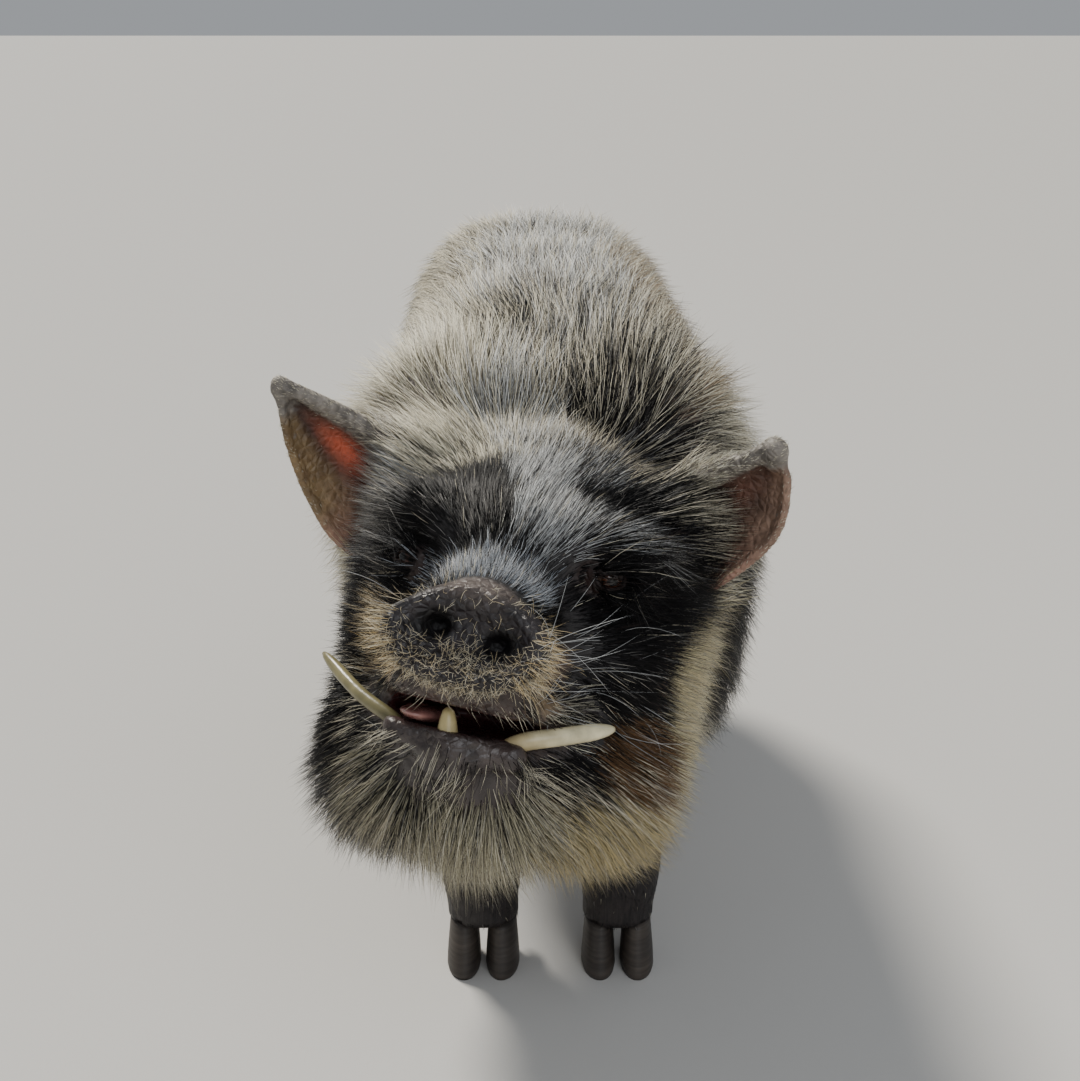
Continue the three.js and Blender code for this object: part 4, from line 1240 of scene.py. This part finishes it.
def strand_faces(rings):
    """The triangles of one three-sided hair: its root's end, its sides and its tip."""
    faces = [(0, 1, 2)]
    for ring in range(rings - 1):
        for corner in range(3):
            a, b = 3 * ring + corner, 3 * ring + (corner + 1) % 3
            faces += [(a, a + 3, b), (b, a + 3, b + 3)]
    last, tip = 3 * (rings - 1), 3 * rings
    faces += [(last + corner, tip, last + (corner + 1) % 3) for corner in range(3)]
    return np.array(faces)


def strands(roots, lean, lie, length, lift, width, rings, clump, pull, curl=0.14):
    """Thin tapering three-sided hairs: their points, triangles, each point's place along its hair, and the
    number of points in a hair."""
    count = len(roots)
    length = length[:, None] * rng.uniform(0.7, 1.2, (count, 1))
    lift = lift[:, None] * rng.uniform(0.6, 1.4, (count, 1))
    start = roots - ROOT_DEPTH * lean
    rise = unit(lie + lift * lean)
    fall = unit(lie + 0.35 * lift * lean + curl * rng.normal(size=roots.shape))
    knee = start + rise * length * 0.45
    tips = lay_down(gather(roots, knee + fall * length * 0.6, clump, pull))
    side = unit(np.cross(lie, lean))
    place, along = [], []
    for ring in range(rings):
        t = ring / rings
        centre = (1 - t) ** 2 * start + 2 * t * (1 - t) * knee + t * t * tips
        forward = unit(2 * (1 - t) * (knee - start) + 2 * t * (tips - knee))
        across = square_to(side, forward)
        over = np.cross(forward, across)
        half = 0.5 * width[:, None] * (1 - 0.75 * t**1.3)
        for corner in range(3):
            angle = 2 * math.pi * corner / 3 + math.pi / 2
            place.append(centre + half * (math.cos(angle) * across + math.sin(angle) * over))
            along.append(t)
    place.append(tips)
    along.append(1.0)
    per = len(along)
    vertices = np.stack(place, axis=1).reshape(-1, 3)
    triangles = (np.arange(count)[:, None, None] * per + strand_faces(rings)).reshape(-1, 3)
    return vertices, triangles, np.tile(along, count), per


def add_coat(name, roots, part, lean, lie, length, lift, width, rings, tones, **shape):
    """Hairs as one piece. On its map, each hair is a small patch at its root's place on the skin's own."""
    vertices, triangles, along, per = strands(roots, lean, lie, length, lift, width, rings, **shape)
    # Each hair is painted darker towards its root (painted shade) and lighter at its tip (painted light)
    tone = np.repeat(tones, per, axis=0) * mix(ROOT_PAINTED_SHADE, TIP_PAINTED_LIGHT, along)[:, None]
    piece = add_object(name, vertices, triangles, hair_look, np.clip(tone, 0, 1))
    corner = np.tile(np.r_[np.tile([0.0, 0.5, 1.0], rings), 0.5], len(roots)) - 0.5
    offset = HAIR_PATCH * np.stack([corner, along - 0.5], axis=1)
    place = np.repeat(unwrap(roots, part), per, axis=0) + offset
    layer = piece.data.uv_layers.new(name="OFBake")
    layer.data.foreach_set("uv", place[triangles.ravel()].astype(np.float32).ravel())


def hair_tones(roots, part):
    """Each hair's colour: its marking's, a little lighter or darker, with some odd grey and dark hairs."""
    hair, _ = markings(roots, part, rng.random(len(roots)))
    kind = rng.random((len(roots), 1))
    pale = hair.mean(axis=1, keepdims=True) > 0.1
    hair = np.where(kind < np.where(pale, 0.12, 0.03), mix(hair, GREY, 0.75), hair)
    hair = np.where(kind > np.where(pale, 0.86, 0.97), mix(hair, UMBER, 0.8), hair)
    shade = 1 + SHADE_SPREAD * rng.normal(size=(len(roots), 1))
    return np.clip(hair * np.clip(shade, 0.45, 1.6), 0, 1)


def grow(name, weight, count, style, rings, **shape):
    """Grows one stretch of coat, and splits it from front to back into pieces of a fair size."""
    roots, lean, where = scatter(weight, count)
    order = np.argsort(roots[:, 1], kind="stable")
    roots, lean, where = roots[order], lean[order], where[order]
    lie = lie_of(roots, lean, where)
    length, lift, width = style(roots)
    tones = hair_tones(roots, where)
    pieces = math.ceil(len(strand_faces(rings)) * count / MOST_TRIANGLES)
    for number, chosen in enumerate(np.array_split(np.arange(count), pieces)):
        label = f"{name}_{number + 1}" if pieces > 1 else name
        add_coat(label, roots[chosen], where[chosen], lean[chosen], lie[chosen], length[chosen],
                 lift[chosen], width[chosen], rings, tones[chosen], **shape)


# Each style gives the length, the lift and the width of the hairs at points
def body_style(p):
    belly = smoothstep(300, 220, p[:, 2])
    top = smoothstep(520, 610, p[:, 2])
    near = smoothstep(200, -40, p[:, 1])
    length = mix(56, 38, belly) + 9 * noise(p, 70, 21) + 10 * near
    lift = mix(0.34, 0.2, belly) + 0.22 * top + 0.22 * near * smoothstep(360, 480, p[:, 2])
    return length, lift, mix(0.95, 0.66, near)


def face_style(p):
    x, y, z = to_head(p).T
    poll = smoothstep(-70, 20, y)
    temple = smoothstep(46, 88, np.abs(x)) * smoothstep(-70, -10, z)
    bridge = smoothstep(-96, -122, y) * smoothstep(-60, -44, z)
    muzzle = smoothstep(-96, -122, y) - bridge
    length = mix(mix(mix(24, 52, poll), 60, temple), 22, bridge) + 5 * noise(p, 26, 22)
    lift = mix(mix(0.3, 0.55, poll), 0.75, bridge)
    return mix(length, 10, muzzle), lift, mix(mix(0.5, 0.62, poll), 0.42, bridge)


def jaw_style(p):
    local = to_head(p)
    chin = smoothstep(-130, -200, local[:, 2])
    side = smoothstep(70, 110, np.abs(local[:, 0]))
    hard = callus(local)
    length = mix(mix(26, 44, side), 64, chin) + 5 * noise(p, 30, 23)
    lift = mix(mix(0.3, 0.56, side), 0.5, chin)
    return mix(length, 20, hard), mix(lift, 0.8, hard), np.full(len(p), 0.54)


def leg_style(p):
    low = smoothstep(230, 90, p[:, 2])
    return mix(34, 13, low), np.full(len(p), 0.22), mix(1.2, 0.8, low)


def ear_style(p):
    root = smoothstep(150, 100, np.abs(to_head(p)[:, 0]))
    return mix(6, 18, root), np.full(len(p), 0.5), np.full(len(p), 0.55)


def tail_style(p):
    end = smoothstep(420, 330, p[:, 2])
    return mix(24, 80, end), mix(0.25, 0.3, end), np.full(len(p), 1.0)


head_points = to_head(points)


def head_weight():
    """The head's coat is thick in front and thin where the neck covers it. Snout, lips and lids are bare."""
    local = head_points
    disc = snout_disc(local)
    weight = lies_on(part, "head") * smoothstep(7, 14, disc) * smoothstep(3, 9, mouth_slit(local))
    below_snout = smoothstep(-78, -96, local[:, 2]) * smoothstep(40, 10, disc)
    weight *= (1 - 0.85 * bare_chin(local)) * (1 - 0.3 * callus(local)) * (1 - 0.7 * below_snout)
    for side in (1, -1):
        q = to_eye(local, side)
        weight *= smoothstep(0.7, 1.15, np.hypot(q[:, 0] / 15, q[:, 1] / 8))
    return weight * (0.25 + 0.75 * smoothstep(50, 0, local[:, 1]))


def ear_weight():
    """Sparse inside the cup, thicker on its back and thickest on its rim."""
    weight = np.zeros(len(points))
    for name, ear in ears.items():
        mine = lies_on(part, name)
        local = head_points[mine]
        i = ear.nearest(local)
        facing = ear.faces_forward(local, i)
        inside = facing & (ear.across[i] > 0.12) & (ear.across[i] < 0.93)
        root = 2.5 * smoothstep(0.3, 0.05, ear.along[i])
        weight[mine] = np.where(inside, 0.1 + root, 0.8) + 1.2 * (ear.across[i] < 0.1)
    return weight


on_face = smoothstep(-135, -95, head_points[:, 2])
on_trunk = lies_on(part, "trunk").astype(float)
near_shoulder = smoothstep(140, 20, points[:, 1])
grow("coat_neck", on_trunk * near_shoulder, 28000, body_style, rings=2, clump=12, pull=0.28)
grow("coat_back", on_trunk * (1 - near_shoulder), 33000, body_style, rings=2, clump=12, pull=0.28)
grow("coat_face", head_weight() * on_face, 47000, face_style, rings=2, clump=10, pull=0.2)
grow("coat_jaw", head_weight() * (1 - on_face), 20000, jaw_style, rings=2, clump=12, pull=0.3)
grow("coat_ears", ear_weight(), 5000, ear_style, rings=2, clump=6, pull=0.1)
grow("coat_legs", lies_on(part, *LEGS), 7000, leg_style, rings=2, clump=10, pull=0.3)
grow("coat_tail", lies_on(part, "tail"), 800, tail_style, rings=3, clump=20, pull=0.3)


# Snout bristles and whiskers
BRASS = colour("d9bd84")


def add_bristles(name, roots, part, lean, lie, lengths, lift, width, rings, tones, **shape):
    """Sparse bristles as one piece. Their lengths lie anywhere between the two that are given."""
    count = len(roots)
    length = rng.uniform(*lengths, count)
    add_coat(name, roots, part, lean, lie, length, np.full(count, lift), np.full(count, width), rings, tones,
             **shape)


def snout_bristles():
    """Curly bristles on the snout's disc, pale and dark, thickest on its lower half."""
    disc = smoothstep(4, -7, head_points[:, 1] - SNOUT_Y) * lies_on(part, "head")
    lower = smoothstep(6, -12, head_points[:, 2] - SNOUT_Z)
    for side in (1, -1):
        disc *= smoothstep(0.5, 3, nostril(head_points, side))
    count = 1900
    roots, lean, where = scatter(disc * (0.14 + lower), count)
    lie = square_to(unit(rng.normal(size=roots.shape) + (0, 0, -0.6)), lean)
    tones = mix(CREAM, BRASS, 0.6 * rng.random((count, 1)))
    tones = np.where(rng.random((count, 1)) < 0.35, UMBER, tones)
    add_bristles("snout_bristles", roots, where, lean, lie, (8, 16), 1.0, 0.36, 4, tones,
                 curl=2.2, clump=5, pull=0.1)


def snout_fringe():
    """Straight golden bristles that stand out on both sides of the snout, behind its disc."""
    gap = snout_disc(head_points)
    x, z = head_points[:, 0], head_points[:, 2]
    weight = smoothstep(5, 9, gap) * smoothstep(28, 16, gap) * lies_on(part, "head")
    weight *= smoothstep(30, 42, np.abs(x - SNOUT_X)) * smoothstep(-44, -56, z) * smoothstep(-106, -92, z)
    count = 620
    roots, lean, where = scatter(weight, count)
    out = to_head(roots) - (SNOUT_X, SNOUT_Y + 8, SNOUT_Z + 6)
    lie = square_to(unit(out * (1, 0.5, 1)) @ HEAD_TURN.T + 0.2 * rng.normal(size=roots.shape), lean)
    tones = mix(mix(BRASS, CREAM, rng.random((count, 1))), BROWN, 0.5 * rng.random((count, 1)) ** 2)
    add_bristles("snout_fringe", roots, where, lean, lie, (13, 26), 0.8, 0.45, 3, tones,
                 curl=0.2, clump=4, pull=0.1)


def whiskers():
    """Long fine whiskers on both cheeks, most of them on the left, that arch out and droop."""
    x, y, z = head_points.T
    weight = lies_on(part, "head") * smoothstep(44, 60, np.abs(x)) * smoothstep(-60, -90, y)
    weight *= smoothstep(-125, -105, z) * smoothstep(-30, -50, z) * np.where(x > 0, 1.0, 0.3)
    count = 56
    roots, lean, where = scatter(weight, count)
    lie = head_lie(to_head(roots)) @ HEAD_TURN.T + np.array([0, 0.3, 0.35])
    lie = unit(lie + 0.35 * rng.normal(size=lie.shape) - (lie * lean).sum(axis=1, keepdims=True) * lean)
    add_bristles("whiskers", roots, where, lean, lie, (40, 68), 0.5, 0.44, 6, np.tile(ASH, (count, 1)),
                 curl=0.4, clump=4, pull=0.0)


snout_bristles()
snout_fringe()
whiskers()


# Eyes, tusks, tooth and tongue
def full_turn(count):
    """Even steps round a circle."""
    return np.arange(count) / count * 2 * np.pi


def tube_faces(rows, sides):
    """Triangles of a tube of rings, whose points are numbered first, and then its two end points."""
    faces = []
    for j in range(sides):
        k = (j + 1) % sides
        faces += [(rows * sides, k, j), (rows * sides + 1, (rows - 1) * sides + j, (rows - 1) * sides + k)]
        for i in range(rows - 1):
            a, b = i * sides + j, i * sides + k
            faces += [(a, b, b + sides), (a, b + sides, a + sides)]
    return np.array(faces)


def ball_mesh(columns, rows):
    """A ball of radius 1, as a tube of rings from its top down."""
    turn = full_turn(columns)
    lean = np.arange(1, rows) / rows * np.pi
    rings = np.stack([np.outer(np.sin(lean), np.cos(turn)), np.outer(np.sin(lean), np.sin(turn)),
                      np.repeat(np.cos(lean)[:, None], columns, 1)], axis=2)
    vertices = np.vstack([rings.reshape(-1, 3), (0, 0, 1), (0, 0, -1)])
    return vertices, tube_faces(rows - 1, columns)[:, ::-1]


def add_eye(name, side):
    vertices, faces = ball_mesh(48, 32)
    lean = np.degrees(np.arccos(np.clip(vertices[:, 2], -1, 1)))
    pupil = np.hypot(vertices[:, 0], vertices[:, 1] * 1.35)
    tones = np.tile(colour("5d4d43"), (len(vertices), 1))
    iris = smoothstep(38, 34, lean)[:, None]
    tones = mix(tones, colour("4a2a1a"), iris)
    tones = mix(tones, colour("1b0f0b"), (smoothstep(31, 35, lean) * smoothstep(41, 37, lean))[:, None])
    tones = mix(tones, colour("050404"), smoothstep(0.34, 0.28, pupil)[:, None] * (lean < 60)[:, None])
    place, axes = EYES[side]
    bulge = 1 + 0.06 * smoothstep(42, 10, lean)[:, None]
    local = vertices * bulge * EYE_RADIUS * 0.985 + (0, 0, -EYE_DEPTH - 0.6)
    replace_node(name, from_head(local @ axes.T + place), faces, eye_material(), tones)


TUBE_SIDES = 20
TONGUE_RADII = (17.6, 47.6, 6.6)
TONGUE_PLACE = (-28, -88, -128)
TUSKS = {  # route, thickness, and the colours of tip and root
    "tusk_left": (((30, -108, -142), (44, -114, -132), (68, -104, -123), (97, -80, -112)), 6.5,
                  "ddd3ae", "9c8655"),
    "tusk_right": (((-30, -104, -148), (-46, -112, -136), (-78, -100, -124), (-118, -72, -104)), 5.2,
                   "857e5a", "4a462e"),
}


def tube_mesh(path, radii, sides):
    ahead = unit(np.gradient(path, axis=0))
    across = np.zeros_like(path)
    last = np.array([0.3, 0.9, 0.2])
    for i, forward in enumerate(ahead):
        last = unit(last - (last @ forward) * forward)
        across[i] = last
    third = np.cross(ahead, across)
    turn = full_turn(sides)
    rings = path[:, None] + radii[:, None, None] * (
        np.cos(turn)[None, :, None] * across[:, None] + np.sin(turn)[None, :, None] * third[:, None])
    return np.vstack([rings.reshape(-1, 3), path[:1], path[-1:]]), tube_faces(len(path), sides)


def add_tusk(name, route, thick, tone, root_tone):
    t = np.linspace(0, 1, 41)
    tip = 0.92 * np.sqrt(np.maximum(1 - ((t - 0.8) / 0.21) ** 2, 0.04))
    radii = thick * np.where(t < 0.8, 1 - 0.1 * t, tip)
    vertices, faces = tube_mesh(curve_through(route, 40), radii, TUBE_SIDES)
    along = np.r_[np.repeat(t, TUBE_SIDES), 0, 1]
    worn = 0.18 * noise(vertices, 7, 41)
    tones = paint_over(colour(root_tone), along * 1.5 - 0.1 + worn, colour(tone))
    replace_node(name, from_head(vertices), faces, ivory_look, tones)


def add_tooth():
    path = curve_through([(-2, -126, -152), (-3, -130, -138), (-5, -134, -119)], 16)
    radii = np.interp(np.linspace(0, 1, 17), [0, 0.5, 0.8, 0.95, 1], [7, 7.6, 5.6, 3.8, 1.6])
    vertices, faces = tube_mesh(path, radii, TUBE_SIDES)
    replace_node("tooth_front", from_head(vertices), faces, ivory_look, colour("b7a878"))


def add_tongue():
    """A flat tongue with a groove along its top."""
    vertices, faces = ball_mesh(40, 28)
    vertices[:, 2] *= 1 - 0.22 * np.exp(-(vertices[:, 0] / 0.18) ** 2) * (vertices[:, 2] > 0)
    local = vertices * TONGUE_RADII + TONGUE_PLACE
    tones = speckle(local, 6, 9, "7c4a46", "b08279")
    replace_node("tongue", from_head(local), faces, tongue_material(), tones)


ivory_look = ivory_material()
add_eye("eye_left", 1)
add_eye("eye_right", -1)
for tusk_name, facts in TUSKS.items():
    add_tusk(tusk_name, *facts)
add_tooth()
add_tongue()


# Hooves and dewclaws
def add_hoof(name, foot, toe):
    rows, sides = 14, 32
    height = np.linspace(0, 1, rows)
    grow_by = np.interp(height, [0, 0.04, 0.33, 1], [1.06, 1.12, 1.08, 0.9])
    lean = np.interp(height, [0, 0.33, 1], [-9, -5, 2])
    ripple = 0.006 * np.sin(height * 34) * (height > 0.05)
    turn = full_turn(sides)
    inner = np.where(np.cos(turn) < 0, 0.86, 1.0)
    size = (grow_by + ripple)[:, None]
    x = foot[0] + toe * (HOOF_OFFSET + np.cos(turn) * inner * 15.5 * size)
    y = foot[1] - 4 + lean[:, None] + np.sin(turn) * 29 * size
    z = np.repeat((height * (HOOF_TOP - 0.15))[:, None], sides, 1)
    rings = np.stack([x, y, z], axis=2).reshape(-1, 3)
    sole = (foot[0] + toe * HOOF_OFFSET, foot[1] - 13, 0)
    top = (foot[0] + toe * HOOF_OFFSET, foot[1] - 2, HOOF_TOP - 0.15)
    vertices = np.vstack([rings, sole, top])
    faces = tube_faces(rows, sides)[:, ::toe]  # a mirrored hoof has its faces turned over
    replace_node(name, vertices, faces, hoof_look, speckle(vertices, 16, 14, "4b433c", "2b2725"))


def add_dewclaw(name, foot, toe):
    x, y = foot[0] + toe * 15, foot[1] + 20
    path = curve_through([(x, y, HOOF_TOP + 26), (x + toe * 2, y + 14, HOOF_TOP + 18),
                          (x + toe * 3, y + 22, HOOF_TOP + 6)], 14)
    t = np.linspace(0, 1, 15)
    radii = 8 * np.sqrt(np.maximum(1 - np.maximum(t - 0.55, 0) ** 2 * 4.4, 0.05))
    vertices, faces = tube_mesh(path, radii, 16)
    replace_node(name, vertices, faces, hoof_look, colour("3a332e"))


hoof_look = horn_material()
for leg_name, joints in LEGS.items():
    _, end, side_name = leg_name.split("_")
    foot = joints[-1][0]
    outward = 1 if side_name == "left" else -1
    for toe in (1, -1):
        toe_name = "outer" if toe == outward else "inner"
        add_hoof(f"{end}_hoof_{toe_name}_{side_name}", foot, toe)
        add_dewclaw(f"{end}_dewclaw_{toe_name}_{side_name}", foot, toe)


# Floor, light and camera
def add_floor():
    look = Shader("floor", Roughness=0.8, Specular_IOR_Level=0.2, Base_Color=(0.58, 0.57, 0.55, 1))
    look.link(look.bump(look.grain(300), 0.0003, 0.5), "Normal")
    reach = 120
    mesh = bpy.data.meshes.new("floor")
    corners = [(-reach, -reach, 0), (reach, -reach, 0), (reach, reach, 0), (-reach, reach, 0)]
    mesh.from_pydata(corners, [], [(0, 1, 2, 3)])
    mesh.materials.append(look.material)
    floor = bpy.data.objects.new("floor", mesh)
    put_in_scene(floor)


def add_lamp(name, kind, place, target, power, tint):
    data = bpy.data.lights.new(name, kind)
    data.energy = power
    data.color = tint
    lamp = bpy.data.objects.new(name, data)
    lamp.location = place
    lamp.rotation_euler = (Vector(target) - Vector(place)).to_track_quat("-Z", "Y").to_euler()
    put_in_scene(lamp)
    return data


def add_lights():
    world = bpy.data.worlds.new("studio")
    world.use_nodes = True
    background = world.node_tree.nodes["Background"].inputs
    background["Color"].default_value = (0.86, 0.9, 0.95, 1)
    background["Strength"].default_value = 0.4
    bpy.context.scene.world = world
    key = add_lamp("key", "SUN", (-0.4, 0.66, 0.9), (0, 0, 0), 4.2, (1.0, 0.95, 0.86))
    key.angle = math.radians(12)
    front = add_lamp("front", "AREA", (0.8, -2.8, 2.0), (0, -0.4, 0.4), 34, (0.93, 0.96, 1.0))
    front.size = 2.0


def add_camera():
    data = bpy.data.cameras.new("camera")
    data.lens = PHOTO_FOCAL / PHOTO_HEIGHT * SENSOR
    data.sensor_width = SENSOR
    camera = bpy.data.objects.new("camera", data)
    camera.location = np.array(CAMERA_PLACE) * MM + SHIFT
    camera.rotation_euler = (math.radians(90 - CAMERA_PITCH), 0, 0)
    put_in_scene(camera)
    bpy.context.scene.camera = camera


add_floor()
add_lights()
add_camera()
